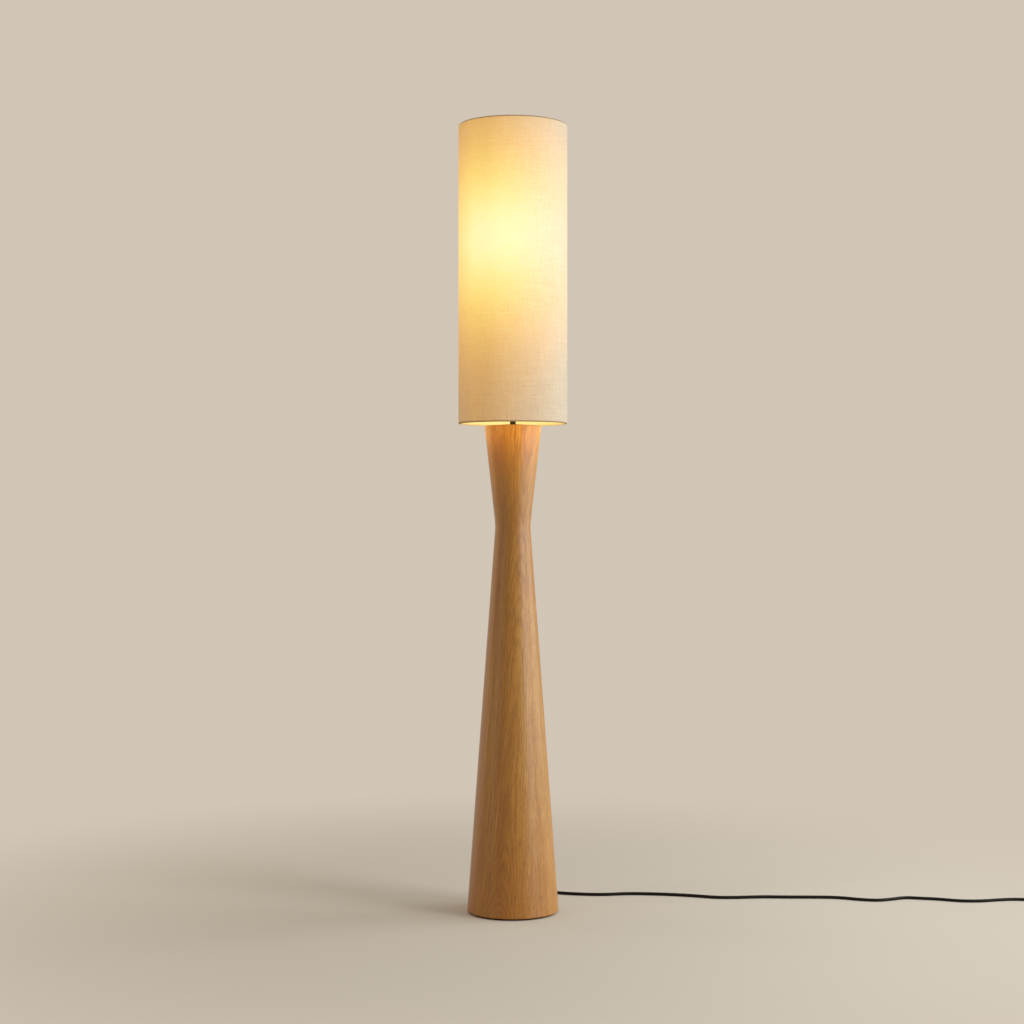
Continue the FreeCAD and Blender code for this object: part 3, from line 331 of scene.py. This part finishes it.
def fine_texture():
    """The fine pebbling of a moulded, painted or plated skin, as a normal."""
    tree, given, result = effect(
        "fine_texture",
        [("Place", "Vector", (0, 0, 0)), ("Scale", "Float", 900.0), ("Depth", "Float", 0.00005)],
        [("Normal", "Vector")],
    )
    grains = noise(tree, given["Place"], given["Scale"], detail=3.0, roughness=0.6)
    bump = put(tree, "Bump", {"Strength": 1.0, "Distance": given["Depth"], "Height": grains})
    fasten(tree, result["Normal"], bump.outputs[0])
    return tree


def woven_threads():
    """Plain weave over (along, across) in metres: height and tone of uneven, slubby threads."""
    tree, given, result = effect(
        "woven_threads",
        [("Place", "Vector", (0, 0, 0)), ("Threads", "Float", 1100.0), ("Slubs", "Float", 0.5)],
        [("Height", "Float"), ("Tone", "Float"), ("Fleck", "Float")],
    )
    along, across, _ = parts_of(tree, given["Place"])
    waves = []
    tones = []
    for run, over, slubs in ((across, along, warp_slubs), (along, across, weft_slubs)):
        wander = drawn_noise(tree, given["Place"], (60, 60, 60))
        strayed = calc(tree, "MULTIPLY_ADD", wander, thread_wander, over)
        count = calc(tree, "MULTIPLY", strayed, given["Threads"])
        thread = calc(tree, "MULTIPLY", calc(tree, "FLOOR", count), slub_shift)
        waves.append(calc(tree, "SINE", calc(tree, "MULTIPLY", calc(tree, "FRACT", count), math.pi)))
        spot = put(tree, "CombineXYZ", {0: calc(tree, "MULTIPLY", run, slubs), 1: thread}).outputs[0]
        tones.append(noise(tree, spot, scale=1.0, detail=3.0, roughness=0.6))
    warp_count = calc(tree, "MULTIPLY", along, given["Threads"])
    weft_count = calc(tree, "MULTIPLY", across, given["Threads"])
    checks = calc(tree, "SINE", calc(tree, "MULTIPLY", calc(tree, "ADD", warp_count, weft_count), math.pi))
    over_under = calc(tree, "MULTIPLY_ADD", checks, 0.5, 0.5)
    crossed = put(tree, "Mix", {0: over_under, 2: waves[0], 3: waves[1]}).outputs[0]
    tone = calc(tree, "MULTIPLY", calc(tree, "ADD", tones[0], tones[1]), 0.5)
    slubbed = calc(tree, "MULTIPLY_ADD", calc(tree, "SUBTRACT", tone, 0.5), given["Slubs"], crossed)
    flecks = drawn_noise(tree, given["Place"], (520, 190, 1), roughness=0.6)
    fasten(tree, result["Height"], slubbed)
    fasten(tree, result["Tone"], tone)
    fasten(tree, result["Fleck"], spread(tree, flecks, 0.56, 0.74))
    return tree


handled = handled_surface()
pebbled = fine_texture()
woven = woven_threads()


# ---------------------------------------------------------------- finishes
def finish(name):
    """A new material with its tree, its shader's inputs and its place socket."""
    material = bpy.data.materials.new(name)
    material.use_nodes = True
    tree = material.node_tree
    place = put(tree, "TexCoord").outputs["Object"]
    return material, tree, tree.nodes["Principled BSDF"].inputs, place


def wiped(tree, shader, place, scale, gloss, unevenness):
    """Gives a shader its uneven gloss, and returns the mask of where it was wiped."""
    surface = use(tree, handled, {"Place": place, "Scale": scale, "Gloss": gloss, "Spread": unevenness})
    fasten(tree, shader["Roughness"], surface["Roughness"])
    return surface["Mask"]


def raised(tree, shader, height, strength, depth):
    """Gives a shader a fine relief."""
    bump = put(tree, "Bump", {"Strength": strength, "Distance": depth, "Height": height})
    fasten(tree, shader["Normal"], bump.outputs[0])


def hard_skin(name, clean, worn, worn_range, gloss, unevenness, scale, grain, depth):
    """A hard skin of two tones, with uneven gloss and fine pebbling."""
    material, tree, shader, place = finish(name)
    mask = wiped(tree, shader, place, scale, gloss, unevenness)
    tone = blend(tree, spread(tree, mask, *worn_range), (*clean, 1), (*worn, 1))
    fasten(tree, shader["Base Color"], tone)
    skin = use(tree, pebbled, {"Place": place, "Scale": grain, "Depth": depth})
    fasten(tree, shader["Normal"], skin["Normal"])
    return material, shader


def metal(name, colour, tarnish, gloss, depth=0.00001, scale=60.0, grain=1500.0):
    """Bare or plated metal, rougher and of another tone where it has tarnished."""
    material, shader = hard_skin(name, colour, tarnish, (0.42, 0.70), gloss, 0.16, scale, grain, depth)
    shader["Metallic"].default_value = 1.0
    return material


def moulding(name, colour, dusty, gloss, depth=0.00003, scale=45.0, grain=1200.0, shine=0.5):
    """A moulded or painted skin, rougher and of another tone where dust lies."""
    material, shader = hard_skin(name, colour, dusty, (0.45, 0.75), gloss, 0.14, scale, grain, depth)
    shader["Specular IOR Level"].default_value = shine
    return material


def growth_rings(tree, place, height):
    """The early and the late wood of the rings round a pith that leans, and comes nearer at the foot."""
    across, straight, _ = parts_of(tree, mapped(tree, place, location=pith_place, rotation=pith_lean))
    root = calc(tree, "EXPONENT", calc(tree, "MULTIPLY", height, -root_fade))
    deep = calc(tree, "MULTIPLY_ADD", root, -root_depth, straight)
    sway = drawn_noise(tree, place, (9, 9, 2.4), detail=3.0)
    reach = calc(tree, "MULTIPLY_ADD", sway, ring_sway, from_axis(tree, across, deep))
    along_reach = put(tree, "CombineXYZ", {0: calc(tree, "MULTIPLY", reach, ring_change)}).outputs[0]
    change = noise(tree, along_reach, scale=1.0, roughness=0.6)
    years = calc(tree, "MULTIPLY_ADD", change, ring_spread, calc(tree, "MULTIPLY", reach, ring_rate))
    season = calc(tree, "FRACT", years)
    early = calc(tree, "SUBTRACT", 1.0, spread(tree, season, *early_part))
    return early, spread(tree, season, *late_part)


def stained(tree, wood, marks):
    """The wood with each mark laid over it in its own stain."""
    for name, mark in marks.items():
        strength, colour = oak_stains[name]
        wood = blend(tree, calc(tree, "MULTIPLY", mark, strength), wood, colour)
    return wood


def lacquered_oak():
    """Growth rings round a leaning pith before the column, so its front shows tall arches of grain."""
    material, tree, shader, place = finish("lacquered_oak")
    grain = mapped(tree, place, rotation=grain_lean)
    height = parts_of(tree, place)[2]
    early, late = growth_rings(tree, place, height)
    fibres = drawn_noise(tree, grain, (900, 900, 14), detail=3.0, roughness=0.6)
    strands = drawn_noise(tree, grain, (300, 300, 7))
    streaks = drawn_noise(tree, grain, (110, 110, 2.2), detail=3.0, roughness=0.6)
    patches = drawn_noise(tree, place, (16, 16, 1.1))
    pores = drawn_noise(tree, grain, (2200, 2200, 95), detail=1.0)
    dashes = drawn_noise(tree, grain, (430, 430, 34), detail=1.0)
    open_wood = calc(tree, "MULTIPLY_ADD", early, 0.8, 0.2)
    pits = calc(tree, "MULTIPLY", spread(tree, pores, 0.52, 0.66), open_wood)
    wood = stained(tree, ramp(tree, patches, oak_tones), {"late": late, "early": early})
    # painted shade: darker and warmer towards the foot
    wood = blend(tree, spread(tree, height, foot_shade_top, 0.0), wood, foot_painted_shade, "MULTIPLY")
    wood = stained(tree, wood, {
        "dark_streaks": spread(tree, streaks, 0.40, 0.72),
        "pale_streaks": spread(tree, streaks, 0.44, 0.26),
        "strands": spread(tree, strands, 0.50, 0.68),
        "fibres": spread(tree, fibres, 0.35, 0.70),
        "pores": pits,
        "dashes": spread(tree, dashes, 0.58, 0.70),
    })
    fasten(tree, shader["Base Color"], wood)
    wiped(tree, shader, place, scale=14.0, gloss=0.44, unevenness=0.12)
    relief = calc(tree, "MULTIPLY_ADD", fibres, 0.5, calc(tree, "MULTIPLY", pits, -1.0))
    raised(tree, shader, relief, strength=0.5, depth=oak_relief)
    shader["Coat Weight"].default_value = 0.7
    shader["Coat Roughness"].default_value = 0.38
    shader["Coat IOR"].default_value = 1.45
    shader["Specular IOR Level"].default_value = 0.25
    return material


def bell(tree, height, reach):
    """1 at the bulb's height, falling away evenly above and below it."""
    above = calc(tree, "DIVIDE", calc(tree, "SUBTRACT", height, glow_height), reach)
    return calc(tree, "EXPONENT", calc(tree, "MULTIPLY", calc(tree, "MULTIPLY", above, above), -1.0))


def glow_along(tree, height):
    """The share of the bulb's light that reaches each height of the shade."""
    return calc(tree, "MULTIPLY_ADD", bell(tree, height, glow_reach), 1 - glow_floor, glow_floor)


def glow_across(tree, sideways, left):
    """The glow is fullest a little left of the middle, and weakest on the right, in the room's light."""
    return calc(tree, "MULTIPLY", spread(tree, sideways, *glow_right), spread(tree, sideways, *left))


def light_let_out(tree, x, y, z, threads):
    """The bulb's light as the cover's threads, flecks and lap let it out."""
    share = calc(tree, "MULTIPLY", glow_along(tree, z), glow_across(tree, x, glow_left))
    tone = calc(tree, "SUBTRACT", threads["Tone"], 0.5)
    share = calc(tree, "MULTIPLY_ADD", calc(tree, "MULTIPLY", tone, share), thread_glow, share)
    share = calc(tree, "MULTIPLY", share, calc(tree, "MULTIPLY_ADD", threads["Fleck"], -fleck_shade, 1.0))
    beside_lap = spread(tree, calc(tree, "ABSOLUTE", x), *lap_line)
    single = calc(tree, "MAXIMUM", beside_lap, spread(tree, y, lap_depth, 0.0))
    share = calc(tree, "MULTIPLY", share, calc(tree, "MULTIPLY_ADD", single, 1 - lap_glow, lap_glow))
    core = calc(tree, "MULTIPLY", bell(tree, z, core_reach), glow_across(tree, x, core_left))
    return blend(tree, core, ramp(tree, share, glow_colours), core_colour, "ADD")


def linen_cover():
    """Cream linen, lit through from inside. Its rims and seam are two layers and let less light out, and
    the rims are also painted darker, as shade on the folds.
    """
    material, tree, shader, place = finish("linen_cover")
    x, y, z = parts_of(tree, place)
    cloth = put(tree, "UVMap", uv_map="cloth").outputs[0]
    threads = use(tree, woven, {"Place": cloth, "Threads": linen_threads, "Slubs": linen_slubs})
    from_foot = calc(tree, "SUBTRACT", z, shade_foot)
    from_top = calc(tree, "SUBTRACT", shade_top, z)
    open_cloth = spread(tree, calc(tree, "MINIMUM", from_foot, from_top), *rim_line)
    linen = ramp(tree, threads["Tone"], linen_tones)
    linen = blend(tree, calc(tree, "MULTIPLY", threads["Fleck"], fleck_strength), linen, fleck_colour)
    # the rims' darker base colour is painted shade
    fasten(tree, shader["Base Color"], blend(tree, open_cloth, rim_shade_colour, linen))
    outside = blend(tree, open_cloth, rim_glow, light_let_out(tree, x, y, z, threads))
    inside = ramp(tree, bell(tree, z, glow_reach), inside_glow)
    inner_face = spread(tree, from_axis(tree, x, y), *inside_line)
    fasten(tree, shader["Emission Color"], blend(tree, inner_face, outside, inside))
    raised(tree, shader, threads["Height"], strength=0.7, depth=linen_relief)
    shader["Emission Strength"].default_value = 1.0
    shader["Roughness"].default_value = 0.92
    shader["Sheen Weight"].default_value = 0.12
    shader["Sheen Roughness"].default_value = 0.5
    shader["Specular IOR Level"].default_value = 0.15
    return material


def lining_sheet():
    """The stiff translucent sheet behind the cloth, lit by the bulb."""
    material, tree, shader, place = finish("lining_sheet")
    z = parts_of(tree, place)[2]
    clouds = drawn_noise(tree, place, (9, 9, 4))
    fasten(tree, shader["Base Color"], blend(tree, spread(tree, clouds, 0.35, 0.65), *lining_tones))
    lit = calc(tree, "MULTIPLY", bell(tree, z, glow_reach), calc(tree, "MULTIPLY_ADD", clouds, 0.16, 0.92))
    fasten(tree, shader["Emission Color"], ramp(tree, lit, inside_glow))
    shader["Emission Strength"].default_value = lining_strength
    wiped(tree, shader, place, scale=20.0, gloss=0.42, unevenness=0.10)
    return material


def opal_dome():
    """The bulb's milky dome, lit from within."""
    material, tree, shader, place = finish("opal_dome")
    rise = spread(tree, parts_of(tree, place)[2], dome_low, dome_high)
    fasten(tree, shader["Base Color"], ramp(tree, rise, dome_tones))
    fasten(tree, shader["Emission Color"], ramp(tree, rise, dome_glow))
    shader["Emission Strength"].default_value = dome_strength
    wiped(tree, shader, place, scale=60.0, gloss=0.36, unevenness=0.08)
    return material


def wool_felt():
    """Pressed felt: matted fibres with a faint lighter fuzz."""
    material, tree, shader, place = finish("wool_felt")
    matted = noise(tree, place, scale=1500.0, detail=4.0, roughness=0.75)
    clumps = noise(tree, place, scale=180.0, detail=3.0, roughness=0.6)
    fuzz = calc(tree, "MULTIPLY_ADD", clumps, 0.4, calc(tree, "MULTIPLY", matted, 0.6))
    felt = ramp(tree, fuzz, [
        (0.30, (0.008, 0.004, 0.002)), (0.55, (0.022, 0.011, 0.006)), (0.75, (0.050, 0.028, 0.017)),
    ])
    fasten(tree, shader["Base Color"], felt)
    raised(tree, shader, matted, strength=0.8, depth=0.0004)
    shader["Roughness"].default_value = 0.95
    shader["Sheen Weight"].default_value = 0.3
    shader["Specular IOR Level"].default_value = 0.1
    return material


def pressed_paper():
    """The brown fibre paper of the lampholder's sleeve."""
    material, tree, shader, place = finish("pressed_paper")
    fibres = drawn_noise(tree, place, (900, 900, 350), detail=4.0, roughness=0.7)
    paper = ramp(tree, fibres, [
        (0.30, (0.300, 0.190, 0.100)), (0.55, (0.430, 0.300, 0.180)), (0.75, (0.520, 0.390, 0.260)),
    ])
    fasten(tree, shader["Base Color"], paper)
    raised(tree, shader, fibres, strength=0.5, depth=0.0001)
    shader["Roughness"].default_value = 0.85
    return material


def tie_webbing():
    """The narrow woven strap that holds the coil."""
    material, tree, shader, place = finish("tie_webbing")
    x, y, z = parts_of(tree, place)
    along = put(tree, "CombineXYZ", {0: x, 1: calc(tree, "ADD", y, z)}).outputs[0]
    threads = use(tree, woven, {"Place": along, "Threads": 1600.0, "Slubs": 0.4})
    # painted shade: the strap is coloured darker where the weave lies low, as shade between its threads
    strap = ramp(tree, threads["Height"], [(0.15, (0.008, 0.008, 0.008)), (0.85, (0.035, 0.034, 0.033))])
    fasten(tree, shader["Base Color"], strap)
    raised(tree, shader, threads["Height"], strength=0.8, depth=0.0003)
    shader["Roughness"].default_value = 0.8
    return material


finishes = {
    "oak": lacquered_oak(),
    "shade_cloth": linen_cover(),
    "shade_sheet": lining_sheet(),
    "bulb_glass": opal_dome(),
    "felt": wool_felt(),
    "insulating_paper": pressed_paper(),
    "dark_steel": metal("blackened_steel", (0.075, 0.075, 0.080), (0.120, 0.110, 0.100), 0.50,
                        depth=0.00004, scale=30.0, grain=700.0),
    "zinc_steel": metal("zinc_plate", (0.620, 0.620, 0.600), (0.450, 0.450, 0.440), 0.36),
    "harp_metal": metal("brass_plated_wire", (0.720, 0.530, 0.270), (0.520, 0.350, 0.150), 0.30),
    "brass": metal("polished_brass", (0.800, 0.590, 0.270), (0.600, 0.410, 0.160), 0.24),
    "bulb_metal": metal("bulb_cap_metal", (0.740, 0.740, 0.750), (0.560, 0.550, 0.540), 0.28),
    "black_metal": moulding("satin_black_paint", (0.010, 0.007, 0.006), (0.022, 0.018, 0.016), 0.42,
                            depth=0.00002, shine=0.3),
    "black_moulding": moulding("black_moulding", (0.016, 0.015, 0.015), (0.034, 0.031, 0.029), 0.46,
                               depth=0.00006, grain=1600.0),
    "cord_rubber": moulding("black_cord_jacket", (0.006, 0.004, 0.003), (0.012, 0.008, 0.006), 0.55,
                            depth=0.00004, grain=1400.0, shine=0.15),
    "wire_insulation": moulding("core_insulation", (0.700, 0.660, 0.570), (0.560, 0.510, 0.430), 0.45),
    "white_plastic": moulding("white_housing", (0.830, 0.815, 0.770), (0.720, 0.700, 0.650), 0.34,
                              depth=0.00002),
    "led_board": moulding("led_board", (0.780, 0.780, 0.720), (0.620, 0.620, 0.560), 0.40),
    "white_wire": moulding("white_enamel", (0.820, 0.800, 0.740), (0.700, 0.670, 0.600), 0.36,
                           grain=500.0),
}


def dress_nodes():
    """Every node of the frame gets the finish of its slot."""
    slots = {part["node"]: part["material_slot"] for part in frame["record"]["subparts"]}
    for name, node in frame["nodes"].items():
        node.data.materials.clear()
        node.data.materials.append(finishes[slots[name]])


# ---------------------------------------------------------------- pieces
def shown(name, data, slot, body):
    """A finished piece: in the scene, in its finish, riding on its body."""
    piece = bpy.data.objects.new(name, data)
    bpy.context.scene.collection.objects.link(piece)
    data.materials.append(finishes[slot])
    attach(piece, body)
    return piece


def meshed(name, mesh):
    """A bmesh's shape as smooth mesh data."""
    for face in mesh.faces:
        face.smooth = True
    data = bpy.data.meshes.new(name)
    mesh.to_mesh(data)
    mesh.free()
    return data


def thickened(piece, name, thickness):
    """Gives a sheet its thickness, half to each side."""
    solid = piece.modifiers.new(name, "SOLIDIFY")
    solid.thickness = thickness
    solid.offset = 0


def line_through(mesh, spots):
    """Edges from spot to spot."""
    verts = [mesh.verts.new(spot) for spot in spots]
    for first, second in zip(verts, verts[1:]):
        mesh.edges.new((first, second))


def is_bend(vert):
    """True where a line turns by nearly a right angle."""
    if len(vert.link_edges) != 2:
        return False
    ways = [(edge.other_vert(vert).co - vert.co).normalized() for edge in vert.link_edges]
    return abs(ways[0].dot(ways[1])) < 0.5


def round_bends(mesh, radius):
    """Rounds the corners of a line."""
    bends = [vert for vert in mesh.verts if is_bend(vert)]
    bmesh.ops.bevel(mesh, geom=bends, offset=radius, segments=bend_steps, profile=0.5,
                    affect="VERTICES", material=-1)


def cover_profile(mesh, skin, fold):
    """Half a section through the cover: up the skin, with both rims rounded over and turned in."""
    half = cloth_thickness / 2
    low, high = shade_foot + half, shade_top - half
    section = [
        (fold, low + hem_depth), (fold, low), (skin, low),
        (skin, high), (fold, high), (fold, high - hem_depth),
    ]
    line_through(mesh, [(0, radius, height) for radius, height in section])
    long_run = [edge for edge in mesh.edges if edge.calc_length() > hem_depth * 2]
    bmesh.ops.subdivide_edges(mesh, edges=long_run, cuts=cover_cuts)
    round_bends(mesh, rim_round)


def lap_lift(step, lap_steps):
    """How far the cover's skin stands out at a step of its winding, once its end laps over its start."""
    return lap_rise * max(0, min(1, (step - cover_steps + 2 * lap_steps) / lap_steps))


def wind_cover(mesh, skin, between):
    """Spins the section once round and a lap more, and notes on each point how far round it lies."""
    turn = 2 * math.pi / cover_steps
    lap_steps = round(lap_width / 2 / (skin * turn))
    turning = mesh.verts.layers.float.new("turning")
    last = list(mesh.verts) + list(mesh.edges)
    for vert in mesh.verts:
        vert.co.rotate(Euler((0, 0, -lap_steps * turn)))
        vert[turning] = -lap_steps * turn
    for step in range(1 - lap_steps, cover_steps + lap_steps + 1):
        lift = lap_lift(step, lap_steps) - lap_lift(step - 1, lap_steps)
        made = bmesh.ops.spin(mesh, geom=last, cent=(0, 0, 0), axis=(0, 0, 1), angle=turn, steps=1,
                              use_merge=False)
        last = made["geom_last"]
        for vert in last:
            if isinstance(vert, bmesh.types.BMVert):
                outward = Vector((vert.co.x, vert.co.y, 0))
                if outward.length > between:
                    vert.co += outward.normalized() * lift
                vert[turning] = step * turn


def is_notched(spot, between):
    """True on the top hem's inner fold, beside an arm of the carrier."""
    if spot.z < shade_top - 2 * hem_depth or spot.z > shade_top - rim_round or spot.xy.length > between:
        return False
    angle = math.degrees(math.atan2(spot.y, spot.x)) % 360
    return any(abs(angle - arm) < notch_half for arm in arm_angles)


def lay_out_cloth(mesh, skin):
    """The cloth's own map in metres: round the drum, and up it and over its rims."""
    flat = mesh.loops.layers.uv.new("cloth")
    turning = mesh.verts.layers.float["turning"]
    for face in mesh.faces:
        for loop in face.loops:
            radius = math.hypot(loop.vert.co.x, loop.vert.co.y)
            loop[flat].uv = (loop.vert[turning] * skin, loop.vert.co.z + (skin - radius))


def linen_shade():
    """The cover: one cloth wound once round, its end lapped over its start at the back."""
    mesh = bmesh.new()
    skin = shade_radius - cloth_thickness / 2
    fold = ring_reach - ring_wire - hem_gap - cloth_thickness / 2
    between = (skin + fold) / 2
    cover_profile(mesh, skin, fold)
    wind_cover(mesh, skin, between)
    notched = [face for face in mesh.faces if is_notched(face.calc_center_median(), between)]
    bmesh.ops.delete(mesh, geom=notched, context="FACES")
    bmesh.ops.recalc_face_normals(mesh, faces=mesh.faces)
    lay_out_cloth(mesh, skin)
    piece = shown("linen_shade", meshed("linen_shade", mesh), "shade_cloth", "shade")
    thickened(piece, "cloth", cloth_thickness)
    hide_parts("shade_fabric")


def coil_point(turns):
    """The coil's middle line: two turns in on the floor, then two turns out on top of them."""
    middle = coil_turns / 2
    angle = 2 * math.pi * turns - math.pi / 2
    radius = coil_reach - coil_pitch * (middle - abs(turns - middle))
    climb = min(max(turns - middle + coil_climb / 2, 0) / coil_climb, 1)
    height = cord_rest + coil_pitch * (1 - math.cos(math.pi * climb)) / 2
    return coil_centre + Vector((radius * math.cos(angle), radius * math.sin(angle), height))


def mains_cord():
    """The cord: from the gland along the floor, into its coil, and out to the plug."""
    points = [gland_tip, gland_tip + Vector((0, lead_start, 0))]
    points += [Vector(place) for place in lead_route]
    points += [coil_point(step / coil_steps) for step in range(coil_turns * coil_steps + 1)]
    points += [Vector(place) for place in tail_route]
    data = bpy.data.curves.new("mains_cord", "CURVE")
    data.dimensions = "3D"
    line = data.splines.new("NURBS")
    line.points.add(len(points) - 1)
    for point, place in zip(line.points, points):
        point.co = (*place, 1)
    line.order_u = 3
    line.use_endpoint_u = True
    line.resolution_u = cord_facets
    data.bevel_depth = cord_diameter / 2
    data.bevel_resolution = cord_bevel
    data.use_fill_caps = True
    piece = shown("mains_cord", data, "cord_rubber", "lamp")
    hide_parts("cord_lead", "cord_coil", "cord_tail")
    return piece


def coil_tie():
    """A woven strap round the coil's four strands at its back, its end lapped over its start on top."""
    clear = tie_thickness / 2
    outer_strand = coil_reach - coil_pitch / 2
    inner_strand = outer_strand - coil_pitch
    near = inner_strand - cord_diameter / 2 - clear
    far = outer_strand + cord_diameter / 2 + clear
    top = cord_diameter + coil_pitch + clear
    left, back = coil_centre.x - tie_width / 2, coil_centre.y
    section = [
        (near + tie_overlap, top), (near, top), (near, clear), (far, clear),
        (far, top + tie_thickness), (far - tie_overlap, top + tie_thickness),
    ]
    mesh = bmesh.new()
    line_through(mesh, [(left, back + reach, height) for reach, height in section])
    round_bends(mesh, tie_round)
    swept = bmesh.ops.extrude_edge_only(mesh, edges=mesh.edges[:])["geom"]
    far_side = [vert for vert in swept if isinstance(vert, bmesh.types.BMVert)]
    bmesh.ops.translate(mesh, verts=far_side, vec=(tie_width, 0, 0))
    bmesh.ops.recalc_face_normals(mesh, faces=mesh.faces)
    data = meshed("coil_tie", mesh)
    piece = shown("coil_tie", data, "cord_rubber", "lamp")
    data.materials[0] = tie_webbing()
    thickened(piece, "webbing", tie_thickness)
    return piece


dress_nodes()
linen_shade()
cord = mains_cord()
on_the_cord = [frame["nodes"]["plug_body"], frame["nodes"]["plug_blades"], coil_tie()]


# ---------------------------------------------------------------- stage, light and camera
def floor_finish():
    """Plain and pale under the lamp, the background's colour further off, and clear from below."""
    material, tree, shader, place = finish("studio_floor")
    x, y, _ = parts_of(tree, place)
    path = put(tree, "LightPath").outputs
    seen = calc(tree, "MAXIMUM", path["Is Camera Ray"], path["Is Glossy Ray"])
    fade = calc(tree, "MULTIPLY", spread(tree, from_axis(tree, x, y), *floor_fade), seen)
    shader["Base Color"].default_value = floor_colour
    shader["Roughness"].default_value = 0.8
    shader["Specular IOR Level"].default_value = 0.1
    lit = tree.nodes["Principled BSDF"].outputs[0]
    plain = put(tree, "Emission", {"Color": background}).outputs[0]
    top = put(tree, "MixShader", {0: fade, 1: lit, 2: plain}).outputs[0]
    clear = put(tree, "BsdfTransparent").outputs[0]
    from_below = put(tree, "NewGeometry").outputs["Backfacing"]
    both = put(tree, "MixShader", {0: from_below, 1: top, 2: clear}).outputs[0]
    fasten(tree, tree.nodes["Material Output"].inputs[0], both)
    return material


def studio_floor():
    """A disc that the lamp stands on, which keeps its shadow."""
    mesh = bmesh.new()
    bmesh.ops.create_circle(mesh, cap_ends=True, segments=floor_sides, radius=floor_radius)
    data = bpy.data.meshes.new("studio_floor")
    mesh.to_mesh(data)
    mesh.free()
    data.materials.append(floor_finish())
    floor = bpy.data.objects.new("studio_floor", data)
    bpy.context.scene.collection.objects.link(floor)


def studio_world():
    """Pale to the camera and in reflections; a plain dim fill for everything else."""
    world = bpy.data.worlds.new("studio")
    bpy.context.scene.world = world
    world.use_nodes = True
    tree = world.node_tree
    path = put(tree, "LightPath").outputs
    seen = calc(tree, "MAXIMUM", path["Is Camera Ray"], path["Is Glossy Ray"])
    seen = calc(tree, "MAXIMUM", seen, path["Is Transmission Ray"])
    dim = tree.nodes["Background"]
    dim.inputs["Color"].default_value = fill_colour
    dim.inputs["Strength"].default_value = fill_strength
    pale = put(tree, "Background", {"Color": background, "Strength": 1.0})
    both = put(tree, "MixShader", {0: seen, 1: dim.outputs[0], 2: pale.outputs[0]}).outputs[0]
    fasten(tree, tree.nodes["World Output"].inputs[0], both)


def lit_from(data, place, way):
    """A light in the scene, shining along a way."""
    light = bpy.data.objects.new(data.name, data)
    bpy.context.scene.collection.objects.link(light)
    light.location = place
    light.rotation_euler = way.to_track_quat("-Z", "Y").to_euler()
    return light


def soft_box(name, place, towards, size, power, colour):
    """A broad soft light that faces a spot."""
    data = bpy.data.lights.new(name, "AREA")
    data.shape = "RECTANGLE"
    data.size, data.size_y = size
    data.energy = power
    data.color = colour
    lit_from(data, place, Vector(towards) - Vector(place))


def spill_from_shade():
    """The warm light that leaves the shade's mouth and falls on the crown of the column."""
    for number in range(spill_count):
        turn = 2 * math.pi * number / spill_count
        outward = Vector((math.cos(turn), math.sin(turn), 0))
        data = bpy.data.lights.new("spill", "SPOT")
        data.energy = spill_power * (1 - spill_lean * abs(math.cos(turn)))
        data.color = spill_colour
        data.shadow_soft_size = spill_size
        data.spot_size = math.radians(spill_cone)
        data.spot_blend = spill_softness
        place = outward * spill_reach + Vector((0, 0, spill_height))
        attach(lit_from(data, place, spill_dip - outward), "shade")


def studio_camera():
    """Level and straight before the lamp."""
    camera = bpy.data.objects.new("camera", bpy.data.cameras.new("camera"))
    bpy.context.scene.collection.objects.link(camera)
    camera.location = camera_place
    camera.rotation_euler = (math.radians(90), 0, 0)
    camera.data.lens = camera_lens
    camera.data.sensor_width = camera_sensor
    camera.data.shift_x, camera.data.shift_y = camera_shift
    bpy.context.scene.camera = camera


studio_floor()
studio_world()
for settings in soft_boxes:
    soft_box(*settings)
spill_from_shade()
studio_camera()
